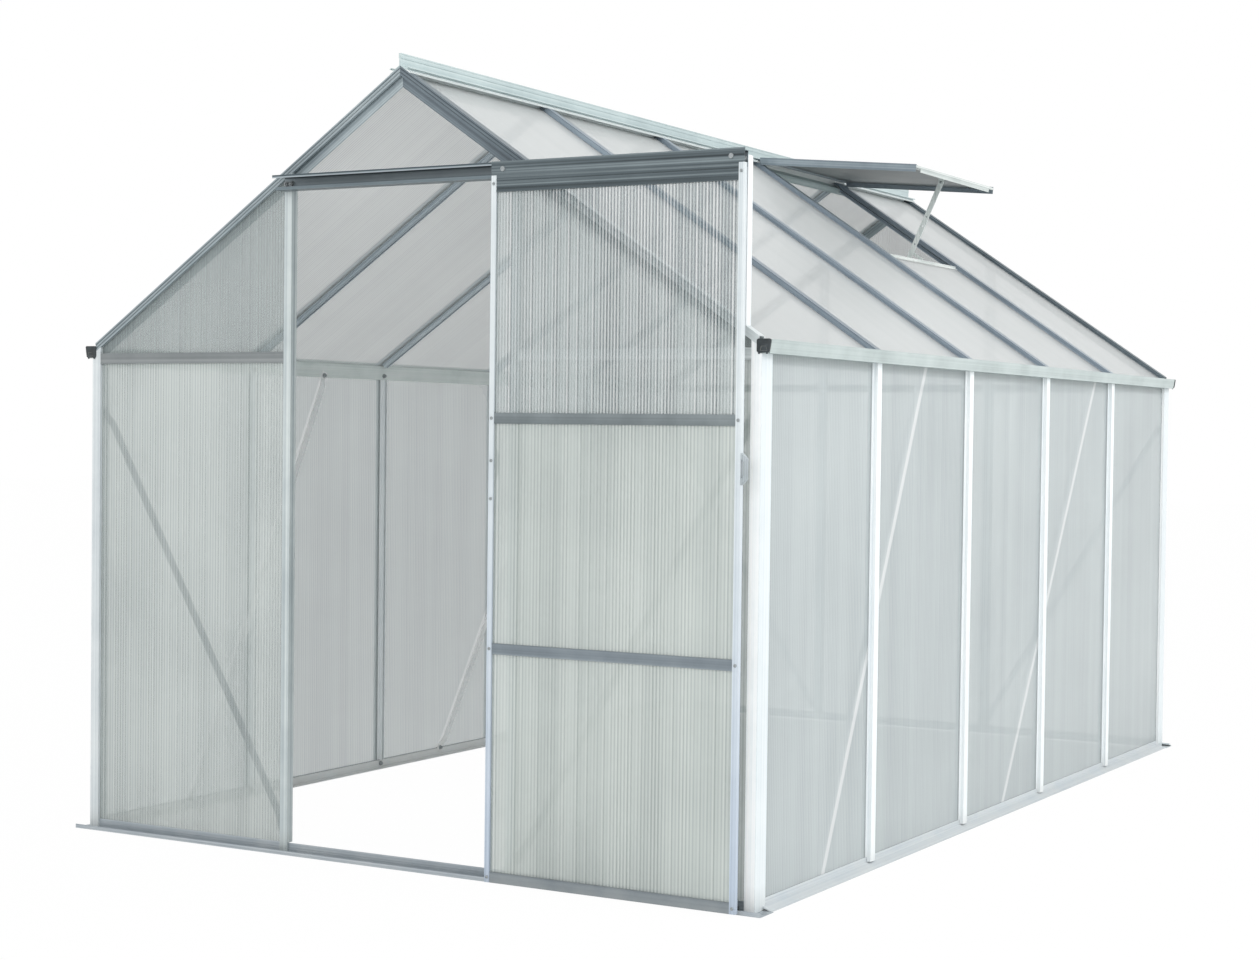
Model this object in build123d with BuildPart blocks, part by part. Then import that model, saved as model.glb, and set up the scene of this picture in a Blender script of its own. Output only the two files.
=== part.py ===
from build123d import *
import os
from math import atan2, cos, hypot, radians, sin, tan

os.makedirs("parts", exist_ok=True)

# House size, millimetres, heights above the ground
house_width = 1900.0
house_length = 2990.0
eaves_height = 1225.0
apex_height = 1864.0
bay_count = 5

# Sheet, wall thickness of the extrusions and fits
sheet = 4.0
sheet_fit = 0.3
edge_gap = 1.0
wall = 1.5
fit = 0.3

# Glazing bar
face = 10.0
rib = 14.0
rib_width = 26.0
lip_reach = 19.0
flange_reach = 15.0
web = 3.0
channel_width = 14.0
channel_depth = 13.0
channel_mouth = 7.0

# Corner posts and gable rafters
front_leg = 26.0
front_grip = 24.0
side_leg = 50.0
core = 17.0
grip = 33.0
rafter_front = 4.0
rafter_leg = 27.0
rafter_top = 26.0
rafter_lip = 35.0
rafter_slot_floor = 1.0
groove_depth = 1.2
groove_width = 4.0

# Base sills
sill_toe = -28.0
sill_drip = 32.0
sill_lip = 34.0
sill_lip_height = 10.0
sill_slot_floor = 10.0
sill_height = 24.0
sill_inner_height = 22.0
sill_slope_top = 13.0
sill_slope_wall = 4.0
front_sill_overhang = 26.0
anchor_hole = 8.0
anchor_line = -17.0
anchor_inset = 420.0

# Eaves gutters
gutter_drop = 32.0
gutter_floor_reach = 26.0
gutter_rim_reach = 31.0
gutter_height = 30.0
gutter_slot = 11.0
gutter_skirt = 21.0
gutter_set_back = 4.5
cap_thickness = 4.0
cap_margin = 1.0
eaves_clear = 36.0

# Roof
sheet_top = 5.0
ridge_grip = 31.0
bar_over = 8.0
sheet_over = 5.0
rafter_back = 8.5

# Ridge bar
crest_rise = 29.0
crest_half = 3.5
crest_drop = 12.0
crest_groove = 0.9
fin_half = 2.2
stem_half = 1.5
stem_foot = 17.0
ridge_foot = 24.0
ridge_flange = 29.0
hinge_s = 16.0
hinge_w = 20.0
bead_radius = 3.4
bead_fit = 0.3
socket_wall = 1.6
mouth_high = 21.0
mouth_low = -60.0

# Gables
post_x = 325.0
post_width = 22.0
post_core = 8.0
post_back = 11.0
rear_post_x = 317.0
cross_bar_drop = 33.0
gusset_run = 72.0
gusset_top = -4.3
gusset_bottom = -23.0
gusset_thickness = 2.0

# Door track, the upright under its far end, and rollers
track_over = 10.0
track_inset = 39.0
support_width = 18.0
support_depth = 22.0
support_drop = 8.0
track_bottom = 1587.0
track_height = 34.0
track_reach = 48.0
track_drop = 7.0
rail_reach = 36.0
rail_height = 7.0
tread_radius = 9.5
roller_radius = 12.0
roller_half = 4.0
roller_inset = 31.0
pin_radius = 3.0
pin_shoulder = 5.0
pin_head = 5.5
pin_head_height = 3.0

# Sliding door, standing open
door_width = 635.0
door_inset = 18.0
door_bottom = 8.0
stile_rise = 3.0
door_plane = 51.5
door_half_depth = 6.5
stile_width = 13.5
stile_core = 8.0
rail_width = 24.0
rail_front = 6.1
rail_core = 8.0
middle_rails = (534.0, 1050.0)
hanger_drop = 34.0
hanger_slot = 14.0
hanger_plate = 2.4
hanger_groove_rises = (-27.0, -19.0, -11.0, -3.0, 5.0)
hanger_groove = 0.7
guide_width = 24.0
guide_sheet = 2.0
guide_arm = 14.0
guide_tongue = 12.0
pull_height = 948.0
pull_length = 68.0
pull_reach = 12.0
pull_slant = 12.0
pull_bar = 4.0
pull_width = 14.0

# Roof vent, standing open
bays_before_vent_count = 3
vent_angle = -5.0
sash_start = 9.5
sash_slot = 15.0
sash_rail = 33.0
sash_end_rail = 498.0
sash_length = 522.0
sash_skirt_gap = 3.0
sash_skirt = -15.5
sash_rise = 6.5
sash_flange = 16.0
sash_lip = -14.0
neck_half = 1.0
vent_sill_s = 520.0
vent_sill_grip = 10.0
vent_sill_rise = 8.0

# Stay of the vent
stay_r = 474.0
stay_n = -15.0
stay_foot_s = 477.0
stay_foot_w = 6.0
stay_width = 16.0
stay_thickness = 2.5
stay_hole = 2.7
stay_pin_radius = 2.4
stay_tail = 9.0
stay_pitch = 30.0
stay_holes = 5
ear_gap = 0.4
ear_sheet = 1.6
ear_half = 8.0
ear_bottom = -20.0
clevis_half = 9.0
clevis_end = 516.0
peg_reach = 8.0
peg_plate = 2.0

# Bracing straps: wall runs from the front, heads down from the eaves, and the gable
# straps' feet out from the posts and heads in from the corners
wall_brace_runs = ((350.0, 915.0), (1500.0, 2240.0))
brace_foot = 14.0
brace_drop = 37.0
gable_brace_foot_out = 9.0
gable_brace_foot_rise = 45.0
gable_brace_head_in = 25.0
gable_brace_head_drop = 160.0
brace_width = 20.0
brace_sheet = 2.0
brace_flat = 24.0
brace_joggle = 20.0

# Values that follow from the sizes above
slot = sheet / 2 + sheet_fit
flange = slot + wall
half_width = house_width / 2
wall_x = half_width - face
pitch_angle = atan2(apex_height - eaves_height, half_width)
slope_c = cos(pitch_angle)
slope_s = sin(pitch_angle)
slope_t = tan(pitch_angle)
roof_apex = apex_height - rib / slope_c
ridge_top = apex_height + crest_rise
gutter_bottom = eaves_height - gutter_drop
cross_bar_height = eaves_height - cross_bar_drop
bar_run = (half_width + bar_over) / slope_c
sheet_run = (half_width + sheet_over) / slope_c
rafter_end = half_width - rafter_back
track_left = -post_x - track_over
track_right = half_width - track_inset
track_top = track_bottom + track_height
door_right = half_width - door_inset
door_left = door_right - door_width
stile_top = track_bottom + stile_rise
hanger_bottom = track_bottom - hanger_drop
brace_head = eaves_height - brace_drop
gable_brace_foot = (post_x + gable_brace_foot_out, gable_brace_foot_rise)
gable_brace_head = (half_width - gable_brace_head_in, eaves_height - gable_brace_head_drop)
front_reach = door_plane + door_half_depth + pin_head_height
rear_reach = sill_drip - face
front_y = (front_reach - house_length - rear_reach) / 2
bay_pitch = (house_length - 2 * core - 2 * edge_gap + web + 2 * edge_gap) / bay_count
sheet_width = bay_pitch - web - 2 * edge_gap
first_edge = core + edge_gap
bar_depths = [first_edge + bay_pitch * i - edge_gap - web / 2 for i in range(1, bay_count)]
roof_inner_end = (wall_x - flange - fit - slot * slope_s) / slope_c
sash_dir = (cos(radians(vent_angle)), sin(radians(vent_angle)))
hands = ((-1, "left"), (1, "right"))
ends = ((-1, "front"), (1, "rear"))


# A place in the house: distance back from the front face to the part's own Y
def depth(d):
    return front_y + d


# The outer face of one gable and a plane set back from it
def gable_y(end, back):
    return depth(back) if end < 0 else depth(house_length - back)


# Across the roof: s runs down the slope from the apex, w stands off the sheet
def roof_xz(s, w):
    return (s * slope_c + w * slope_s, roof_apex - s * slope_s + w * slope_c)


def roof_place(side, y, s, w=0.0):
    x, z = roof_xz(s, w)
    return (side * x, y, z)


def roof_run(side):
    return (side * slope_c, 0, -slope_s)


def roof_out(side):
    return (side * slope_s, 0, slope_c)


# Height of a line that runs along the roof at stand-off w
def roof_line(x, w):
    return roof_apex - abs(x) * slope_t + w / slope_c


# Place on the sash: r from the hinge to the free end, n upwards
hinge_x, hinge_z = roof_xz(hinge_s, hinge_w)


def sash_xz(r, n):
    x = hinge_x + r * sash_dir[0] - n * sash_dir[1]
    return (x, hinge_z + r * sash_dir[1] + n * sash_dir[0])


def section_plane(origin, across, up):
    return Plane(origin=origin, x_dir=across, z_dir=Vector(*across).cross(Vector(*up)))


# Drawing helpers, used inside an open sketch or part
def fill(points, mode=Mode.ADD):
    with BuildLine() as outline:
        Polyline(*points, close=True)
    make_face(outline.edges(), mode=mode)


def both_sides(half):
    return half + [(-x, y) for x, y in reversed(half) if x != 0]


def run_along(plane, draw, direction, length, mode=Mode.ADD):
    with BuildSketch(plane) as section:
        draw()
    extrude(section.sketch, amount=length, dir=direction, mode=mode)


def remove_box(low, high):
    sizes = [abs(b - a) for a, b in zip(low, high)]
    with Locations(tuple((a + b) / 2 for a, b in zip(low, high))):
        Box(*sizes, mode=Mode.SUBTRACT)


def save(builder, label):
    builder.part.label = label
    export_step(builder.part, f"parts/{label}.step")


# Sections of the extrusions
def bar_section():
    half = [(0, rib), (rib_width / 2, rib), (rib_width / 2, flange), (lip_reach, flange)]
    half += [(lip_reach, slot), (web / 2, slot), (web / 2, -slot), (flange_reach, -slot)]
    half += [(flange_reach, -flange), (channel_width / 2, -flange)]
    half += [(channel_width / 2, -channel_depth), (channel_mouth / 2, -channel_depth)]
    half += [(channel_mouth / 2, wall - channel_depth)]
    half += [(channel_width / 2 - wall, wall - channel_depth)]
    half += [(channel_width / 2 - wall, -flange - wall), (0, -flange - wall)]
    fill(both_sides(half))
    rib_hollow()


def rib_hollow():
    with Locations((0, (rib - wall + flange) / 2)):
        Rectangle(rib_width - 2 * wall, rib - wall - flange, mode=Mode.SUBTRACT)


def rib_section():
    half = [(0, rib), (rib_width / 2, rib), (rib_width / 2, flange), (lip_reach, flange)]
    fill(both_sides(half + [(lip_reach, slot), (0, slot)]))
    rib_hollow()


def vent_sill_section():
    half = web / 2
    shape = [(-half, -flange), (vent_sill_grip, -flange), (vent_sill_grip, -slot), (half, -slot)]
    shape += [(half, slot), (vent_sill_grip, slot), (vent_sill_grip, flange), (half, flange)]
    fill(shape + [(half, vent_sill_rise), (-half, vent_sill_rise)])


def support_section():
    back = support_depth - wall
    shape = [(0, 0), (support_width, 0), (support_width, wall), (wall, wall), (wall, back)]
    fill(shape + [(support_width, back), (support_width, support_depth), (0, support_depth)])


def cross_section():
    half = [(0, face), (rib_width / 2, face), (rib_width / 2, slot), (web / 2, slot)]
    half += [(web / 2, -slot), (rib_width / 2, -slot), (rib_width / 2, -flange), (0, -flange)]
    fill(both_sides(half))
    with Locations((0, (face - wall + flange) / 2)):
        Rectangle(rib_width - 2 * wall, face - wall - flange, mode=Mode.SUBTRACT)


def corner_section():
    near = face - slot
    far = face + slot
    shape = [(0, 0), (front_leg, 0), (front_leg, near), (core, near), (core, far), (front_grip, far)]
    shape += [(front_grip, far + wall), (far + wall, far + wall), (far + wall, grip), (far, grip)]
    shape += [(far, core), (near, core), (near, side_leg), (0, side_leg)]
    fill(shape)
    low = wall
    high = near - wall
    hollow = [(low, low), (front_leg - wall, low), (front_leg - wall, high), (high, high)]
    fill(hollow + [(high, side_leg - wall), (low, side_leg - wall)], Mode.SUBTRACT)


def rafter_section():
    near = face - slot
    far = face + slot
    shape = [(0, rib), (rafter_top, rib), (rafter_top, flange), (rafter_lip, flange)]
    shape += [(rafter_lip, slot), (core, slot), (core, -slot), (grip, -slot), (grip, -flange)]
    shape += [(far + wall, -flange), (far + wall, -rafter_leg + wall), (far, -rafter_leg + wall)]
    shape += [(far, rafter_slot_floor), (near, rafter_slot_floor), (near, -rafter_front)]
    fill(shape + [(0, -rafter_front)])
    inner = rafter_top - wall
    fill([(2 * wall, flange), (inner, flange), (inner, rib - wall), (2 * wall, rib - wall)],
         Mode.SUBTRACT)
    for w in (rib * 2 / 3, rib / 6):
        with Locations((0, w)):
            Rectangle(2 * groove_depth, groove_width, mode=Mode.SUBTRACT)


def sill_section():
    shape = [(sill_toe, 0), (sill_drip, 0), (sill_drip, wall), (flange, sill_slope_top)]
    shape += sill_upstand()
    fill(shape)
    low = sill_slope_top - sill_slope_wall
    hollow = [(-slot, wall), (sill_drip - 4 * wall, wall), (flange, low)]
    fill(hollow + [(-slot, low)], Mode.SUBTRACT)


def sill_upstand():
    shape = [(flange, sill_height), (slot, sill_height), (slot, sill_slot_floor)]
    shape += [(-slot, sill_slot_floor), (-slot, sill_inner_height)]
    return shape + [(-flange, sill_inner_height), (-flange, wall), (sill_toe, wall)]


def front_sill_section():
    shape = [(sill_toe, 0), (sill_lip, 0), (sill_lip, sill_lip_height)]
    shape += [(sill_lip - wall, sill_lip_height), (sill_lip - wall, wall), (flange, wall)]
    fill(shape + sill_upstand())
    with Locations((0, (sill_slot_floor) / 2)):
        Rectangle(2 * slot, sill_slot_floor - 2 * wall, mode=Mode.SUBTRACT)


def gutter_section():
    b = gutter_bottom
    top = b + gutter_height
    seat = roof_line(wall_x - slot, -slot) - fit
    web_top = b + gutter_slot + wall
    shape = [(-flange, b - gutter_skirt), (-slot, b - gutter_skirt), (-slot, b + gutter_slot)]
    shape += [(slot, b + gutter_slot), (slot, b), (gutter_floor_reach, b), (gutter_rim_reach, top)]
    shape += [(gutter_rim_reach - wall, top), (gutter_floor_reach - wall, b + wall)]
    shape += [(flange, b + wall), (flange, web_top), (-slot, web_top), (-slot, seat)]
    fill(shape + [(-flange, seat)])


def gutter_cap_section():
    low = gutter_bottom
    high = gutter_bottom + gutter_height + cap_margin
    shape = [(slot, low), (gutter_floor_reach + cap_margin, low)]
    fill(shape + [(gutter_rim_reach + cap_margin, high), (slot, high)])


def ridge_section():
    crest_low = ridge_top - crest_drop
    notch = crest_half - crest_groove
    stem_low = roof_apex - stem_foot
    half = [(0, ridge_top), (crest_half, ridge_top), (crest_half, ridge_top - 2 * wall)]
    half += [(notch, ridge_top - 2 * wall), (notch, ridge_top - 3 * wall)]
    half += [(crest_half, ridge_top - 3 * wall), (crest_half, crest_low), (fin_half, crest_low)]
    half += [(fin_half, roof_line(fin_half, rib + fit + wall))]
    half += [roof_xz(ridge_foot, rib + fit + wall), roof_xz(ridge_foot, rib + fit)]
    half += [(stem_half, roof_line(stem_half, rib + fit)), (stem_half, roof_line(stem_half, -slot))]
    half += [roof_xz(ridge_flange, -slot), roof_xz(ridge_flange, -flange)]
    half += [(stem_half, roof_line(stem_half, -flange)), (stem_half, stem_low)]
    half += [(channel_width / 2, stem_low), (channel_width / 2, stem_low - channel_depth)]
    half += [(channel_mouth / 2, stem_low - channel_depth)]
    half += [(channel_mouth / 2, stem_low - channel_depth + wall)]
    half += [(channel_width / 2 - wall, stem_low - channel_depth + wall)]
    half += [(channel_width / 2 - wall, stem_low - wall), (0, stem_low - wall)]
    fill(both_sides(half))
    bore = bead_radius + bead_fit
    for side, hand in hands:
        with Locations((side * hinge_x, hinge_z)):
            Circle(bore + socket_wall)
            Circle(bore, mode=Mode.SUBTRACT)
        reach = 2 * (bore + socket_wall)
        mouth = [(side * hinge_x, hinge_z)]
        for angle in (mouth_high, (mouth_high + mouth_low) / 2, mouth_low):
            turn = radians(angle)
            mouth.append((side * (hinge_x + reach * cos(turn)), hinge_z + reach * sin(turn)))
        fill(mouth, Mode.SUBTRACT)


def edge_section(width, body, front, back):
    shape = [(0, front), (width, front), (width, slot), (body, slot), (body, -slot)]
    shape += [(width, -slot), (width, -flange), (body, -flange), (body, -back), (0, -back)]
    fill(shape)
    inner = body - wall
    hollow = [(wall, front - wall), (width - wall, front - wall), (width - wall, flange)]
    fill(hollow + [(inner, flange), (inner, wall - back), (wall, wall - back)], Mode.SUBTRACT)


def middle_rail_section():
    half = [(0, rail_front), (rail_width / 2, rail_front), (rail_width / 2, slot), (web / 2, slot)]
    half += [(web / 2, -slot), (rail_width / 2, -slot), (rail_width / 2, -flange), (0, -flange)]
    fill(both_sides(half))
    with Locations((0, (rail_front - wall + flange) / 2)):
        Rectangle(rail_width - 2 * wall, rail_front - wall - flange, mode=Mode.SUBTRACT)


def hanger_section():
    front = door_half_depth
    slot_top = hanger_bottom + hanger_slot
    shape = [(front, hanger_bottom), (front, track_top), (front - hanger_plate, track_top)]
    shape += [(front - hanger_plate, slot_top + wall), (-flange, slot_top + wall)]
    shape += [(-flange, hanger_bottom), (-slot, hanger_bottom), (-slot, slot_top)]
    fill(shape + [(slot, slot_top), (slot, hanger_bottom)])
    back = front - wall
    hollow = [(flange, hanger_bottom + wall), (back, hanger_bottom + wall), (back, slot_top)]
    fill(hollow + [(flange, slot_top)], Mode.SUBTRACT)
    for rise in hanger_groove_rises:
        with Locations((front, track_bottom + rise)):
            Rectangle(2 * hanger_groove, groove_width, mode=Mode.SUBTRACT)


def track_section():
    inner_top = track_top - wall
    shape = [(fit, track_bottom), (rail_reach, track_bottom)]
    shape += [(rail_reach, track_bottom + rail_height)]
    shape += [(rail_reach - wall, track_bottom + rail_height)]
    shape += [(rail_reach - wall, track_bottom + wall), (fit + wall, track_bottom + wall)]
    shape += [(fit + wall, inner_top), (track_reach - wall, inner_top)]
    shape += [(track_reach - wall, track_top - track_drop), (track_reach, track_top - track_drop)]
    fill(shape + [(track_reach, track_top), (fit, track_top)])


# Everything above the underside of the gable rafters, taken off posts and cross bars:
# less in front, where the rafter's short front leg is, than behind
def trim_under_rafters(end):
    edge = rafter_end + fit
    near = face - slot
    for leg, start, stop in ((rafter_front, -rib, near), (rafter_leg, near, side_leg + rib)):
        low = -leg - fit
        above = [(-edge, roof_line(edge, low)), (0, roof_line(0, low)), (edge, roof_line(edge, low))]
        above += [(edge, ridge_top), (-edge, ridge_top)]
        plane = section_plane((0, gable_y(end, start), 0), (1, 0, 0), (0, 0, 1))
        with BuildSketch(plane) as section:
            fill(above)
        extrude(section.sketch, amount=stop - start, dir=(0, -end, 0), mode=Mode.SUBTRACT)


# Space that a corner post stands in, taken out of the sills
def remove_corner_posts():
    for side, hand in hands:
        for end, name in ends:
            low = (side * (half_width - front_leg - fit), gable_y(end, -fit), wall + fit)
            high = (side * (half_width + fit), gable_y(end, side_leg + fit), eaves_height)
            remove_box(low, high)


# Base sills
sill_half = half_width + front_sill_overhang
with BuildPart() as sill_front:
    plane = section_plane((-sill_half, gable_y(-1, face), 0), (0, -1, 0), (0, 0, 1))
    run_along(plane, front_sill_section, (1, 0, 0), 2 * sill_half)
    remove_corner_posts()
    for side, hand in hands:
        low = (side * half_width, gable_y(-1, -fit), wall + fit)
        remove_box(low, (side * (sill_half + fit), gable_y(-1, side_leg), eaves_height))
save(sill_front, "sill_front")

with BuildPart() as sill_rear:
    plane = section_plane((-sill_half, gable_y(1, face), 0), (0, 1, 0), (0, 0, 1))
    run_along(plane, sill_section, (1, 0, 0), 2 * sill_half)
    remove_corner_posts()
    for side, hand in hands:
        low = (side * half_width, gable_y(1, face - flange), wall + fit)
        remove_box(low, (side * (sill_half + fit), gable_y(1, side_leg), eaves_height))
save(sill_rear, "sill_rear")

side_start = face - sill_toe + fit
side_length = house_length - 2 * side_start
for side, hand in hands:
    with BuildPart() as sill:
        plane = section_plane((side * wall_x, depth(side_start), 0), (side, 0, 0), (0, 0, 1))
        run_along(plane, sill_section, (0, 1, 0), side_length)
        remove_corner_posts()
        for end, name in ends:
            with Locations((side * (wall_x + anchor_line), gable_y(end, anchor_inset), 0)):
                Cylinder(anchor_hole / 2, 4 * wall, mode=Mode.SUBTRACT)
    save(sill, f"sill_{hand}")

# Corner posts, mitred under the rafters and cut off level under the gutters
post_bottom = wall + fit
post_top = gutter_bottom - fit
for side, hand in hands:
    for end, name in ends:
        with BuildPart() as post:
            origin = (side * half_width, gable_y(end, 0), post_bottom)
            plane = section_plane(origin, (-side, 0, 0), (0, -end, 0))
            run_along(plane, corner_section, (0, 0, 1), eaves_height - post_bottom)
            trim_under_rafters(end)
            low = (side * (rafter_end + fit), gable_y(end, -fit), post_top)
            remove_box(low, (side * (half_width + fit), gable_y(end, side_leg + fit), apex_height))
        save(post, f"corner_post_{name}_{hand}")

# Wall glazing bars, notched over the sill and under the eaves
tongue = flange + fit
bar_bottom = sill_slope_top + fit
for side, hand in hands:
    with BuildPart() as bars:
        for d in bar_depths:
            plane = section_plane((side * wall_x, depth(d), bar_bottom), (0, -side, 0), (side, 0, 0))
            run_along(plane, bar_section, (0, 0, 1), post_top - bar_bottom)
        inner = side * (wall_x - side_leg)
        remove_box((inner, depth(0), 0), (side * (wall_x + tongue), depth(house_length), sill_height + fit))
        low = (inner, depth(0), gutter_bottom - gutter_skirt - fit)
        remove_box(low, (side * (wall_x + slot), depth(house_length), eaves_height))
    save(bars, f"wall_bars_{hand}")

# Eaves gutters and their end caps
gutter_length = house_length - 2 * gutter_set_back
for side, hand in hands:
    with BuildPart() as gutter:
        plane = section_plane((side * wall_x, depth(gutter_set_back), 0), (side, 0, 0), (0, 0, 1))
        run_along(plane, gutter_section, (0, 1, 0), gutter_length)
        for end, name in ends:
            low = (side * (wall_x - side_leg), gable_y(end, -side_leg), 0)
            remove_box(low, (side * (wall_x + slot), gable_y(end, eaves_clear), apex_height))
    save(gutter, f"gutter_{hand}")

with BuildPart() as gutter_caps:
    for side, hand in hands:
        for end, name in ends:
            y = gable_y(end, gutter_set_back)
            plane = section_plane((side * wall_x, y, 0), (side, 0, 0), (0, 0, 1))
            run_along(plane, gutter_cap_section, (0, end, 0), cap_thickness)
save(gutter_caps, "gutter_caps")

# Gable rafters, mitred at the apex
for side, hand in hands:
    for end, name in ends:
        with BuildPart() as rafter:
            origin = roof_place(side, gable_y(end, 0), -rafter_lip)
            plane = section_plane(origin, (0, -end, 0), roof_out(side))
            run_along(plane, rafter_section, roof_run(side), house_width)
            far = side * house_width
            remove_box((0, depth(-face), 0), (-far, depth(house_length + face), 2 * apex_height))
            low = (side * rafter_end, depth(-face), 0)
            remove_box(low, (far, depth(house_length + face), 2 * apex_height))
        save(rafter, f"rafter_{name}_{hand}")

# Gusset plates behind the rafters at the apex
with BuildPart() as gussets:
    far = face + slot + wall + fit
    for end, name in ends:
        half = [(0, roof_line(0, gusset_top)), roof_xz(gusset_run, gusset_top)]
        half += [roof_xz(gusset_run, gusset_bottom), (0, roof_line(0, gusset_bottom))]
        plane = section_plane((0, gable_y(end, far), 0), (1, 0, 0), (0, 0, 1))
        with BuildSketch(plane):
            fill(both_sides(half))
        extrude(amount=gusset_thickness, dir=(0, -end, 0))
save(gussets, "apex_gussets")

# Ridge bar, its stem cut back where it lies on the rafters
with BuildPart() as ridge:
    plane = section_plane((0, depth(0), 0), (1, 0, 0), (0, 0, 1))
    run_along(plane, ridge_section, (0, 1, 0), house_length)
    under = [(0, roof_line(0, rib + fit)), (side_leg, roof_line(side_leg, rib + fit))]
    under += [(side_leg, eaves_height), (0, eaves_height)]
    for end, name in ends:
        plane = section_plane((0, gable_y(end, 0), 0), (1, 0, 0), (0, 0, 1))
        with BuildSketch(plane):
            fill(both_sides(under))
        extrude(amount=eaves_clear, dir=(0, -end, 0), mode=Mode.SUBTRACT)
save(ridge, "ridge")

# Roof glazing bars: only the rib reaches under the ridge and over the gutter
for side, hand in hands:
    with BuildPart() as bars:
        for d in bar_depths:
            plane = section_plane(roof_place(side, depth(d), sheet_top), (0, side, 0), roof_out(side))
            run_along(plane, rib_section, roof_run(side), bar_run - sheet_top)
            plane = section_plane(roof_place(side, depth(d), ridge_grip), (0, side, 0), roof_out(side))
            run_along(plane, bar_section, roof_run(side), roof_inner_end - ridge_grip)
    save(bars, f"roof_bars_{hand}")

# Vent sill across the vent's bay
vent_front = depth(bar_depths[bays_before_vent_count - 1])
vent_mid = vent_front + bay_pitch / 2
with BuildPart() as vent_sill:
    start = vent_front + lip_reach + fit
    plane = section_plane(roof_place(1, start, vent_sill_s), roof_run(1), roof_out(1))
    run_along(plane, vent_sill_section, (0, 1, 0), bay_pitch - 2 * lip_reach - 2 * fit)
save(vent_sill, "vent_sill")

# Wall and roof sheets
wall_sheet_bottom = sill_slot_floor + edge_gap
wall_sheet_height = gutter_bottom + gutter_slot - edge_gap - wall_sheet_bottom
vent_sheet_top = vent_sill_s + web / 2 + edge_gap
for side, hand in hands:
    with BuildPart() as wall_sheets:
        for i in range(bay_count):
            y = depth(first_edge + bay_pitch * i + sheet_width / 2)
            with Locations((side * wall_x, y, wall_sheet_bottom + wall_sheet_height / 2)):
                Box(sheet, sheet_width, wall_sheet_height)
    save(wall_sheets, f"wall_sheets_{hand}")
    with BuildPart() as roof_sheets:
        for i in range(bay_count):
            y = depth(first_edge + bay_pitch * i + sheet_width / 2)
            top = vent_sheet_top if side > 0 and i == bays_before_vent_count else sheet_top
            plane = section_plane(roof_place(side, y, top), (0, side, 0), roof_out(side))
            with BuildSketch(plane):
                Rectangle(sheet_width, sheet)
            extrude(amount=sheet_run - top, dir=roof_run(side))
    save(roof_sheets, f"roof_sheets_{hand}")

# Door posts and rear gable posts
for side, hand in hands:
    with BuildPart() as post:
        origin = (side * (post_x - post_width / 2), gable_y(-1, face), post_bottom)
        plane = section_plane(origin, (side, 0, 0), (0, -1, 0))
        with BuildSketch(plane):
            edge_section(post_width, post_core, face, post_back)
        extrude(amount=apex_height, dir=(0, 0, 1))
        low = (0, gable_y(-1, face - tongue), 0)
        remove_box(low, (side * half_width, gable_y(-1, side_leg), sill_height + fit))
        trim_under_rafters(-1)
    save(post, f"door_post_{hand}")

with BuildPart() as rear_posts:
    for side, hand in hands:
        origin = (side * rear_post_x, gable_y(1, face), bar_bottom)
        plane = section_plane(origin, (side, 0, 0), (0, 1, 0))
        run_along(plane, bar_section, (0, 0, 1), apex_height)
        low = (0, gable_y(1, face - tongue), 0)
        remove_box(low, (side * half_width, gable_y(1, side_leg), sill_height + fit))
    trim_under_rafters(1)
save(rear_posts, "rear_posts")

# Gable cross bars at eaves height
corner_edge = half_width - front_leg - fit
front_edge = post_x + post_width / 2 + fit
rear_edge = rear_post_x + lip_reach + fit
with BuildPart() as cross_bars_front:
    for side, hand in hands:
        plane = section_plane((side * front_edge, gable_y(-1, face), cross_bar_height),
                              (0, 0, 1), (0, -1, 0))
        run_along(plane, cross_section, (side, 0, 0), corner_edge - front_edge)
    trim_under_rafters(-1)
save(cross_bars_front, "cross_bars_front")

with BuildPart() as cross_bars_rear:
    for start, length in ((-corner_edge, corner_edge - rear_edge),
                          (fit + lip_reach - rear_post_x, 2 * (rear_post_x - lip_reach - fit)),
                          (rear_edge, corner_edge - rear_edge)):
        plane = section_plane((start, gable_y(1, face), cross_bar_height), (0, 0, 1), (0, 1, 0))
        run_along(plane, cross_section, (1, 0, 0), length)
    trim_under_rafters(1)
save(cross_bars_rear, "cross_bars_rear")

# Gable sheets
lower_top = cross_bar_height - web / 2 - edge_gap
upper_bottom = cross_bar_height + web / 2 + edge_gap
sheet_far = half_width - first_edge
front_near = post_x - post_width / 2 + post_core + edge_gap
rear_near = rear_post_x + web / 2 + edge_gap
rear_mid = rear_post_x - web / 2 - edge_gap
sheet_rise = rafter_slot_floor - edge_gap


def gable_sheet(end, points):
    plane = section_plane((0, gable_y(end, face), 0), (1, 0, 0), (0, 0, 1))
    with BuildSketch(plane) as section:
        fill(points)
    extrude(section.sketch, amount=sheet / 2, both=True)


def side_sheets(end, side, near):
    lower = [(near, wall_sheet_bottom), (sheet_far, wall_sheet_bottom), (sheet_far, lower_top)]
    lower += [(near, lower_top)]
    upper = [(near, upper_bottom), (sheet_far, upper_bottom)]
    upper += [(sheet_far, roof_line(sheet_far, sheet_rise)), (near, roof_line(near, sheet_rise))]
    for points in (lower, upper):
        gable_sheet(end, [(side * x, z) for x, z in points])


with BuildPart() as gable_sheets_front:
    for side, hand in hands:
        side_sheets(-1, side, front_near)
save(gable_sheets_front, "gable_sheets_front")

with BuildPart() as gable_sheets_rear:
    for side, hand in hands:
        side_sheets(1, side, rear_near)
    gable_sheet(1, both_sides([(0, wall_sheet_bottom), (rear_mid, wall_sheet_bottom),
                               (rear_mid, lower_top), (0, lower_top)]))
    gable_sheet(1, both_sides([(0, upper_bottom), (rear_mid, upper_bottom),
                               (rear_mid, roof_line(rear_mid, sheet_rise)),
                               (0, roof_line(0, sheet_rise))]))
save(gable_sheets_rear, "gable_sheets_rear")


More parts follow.
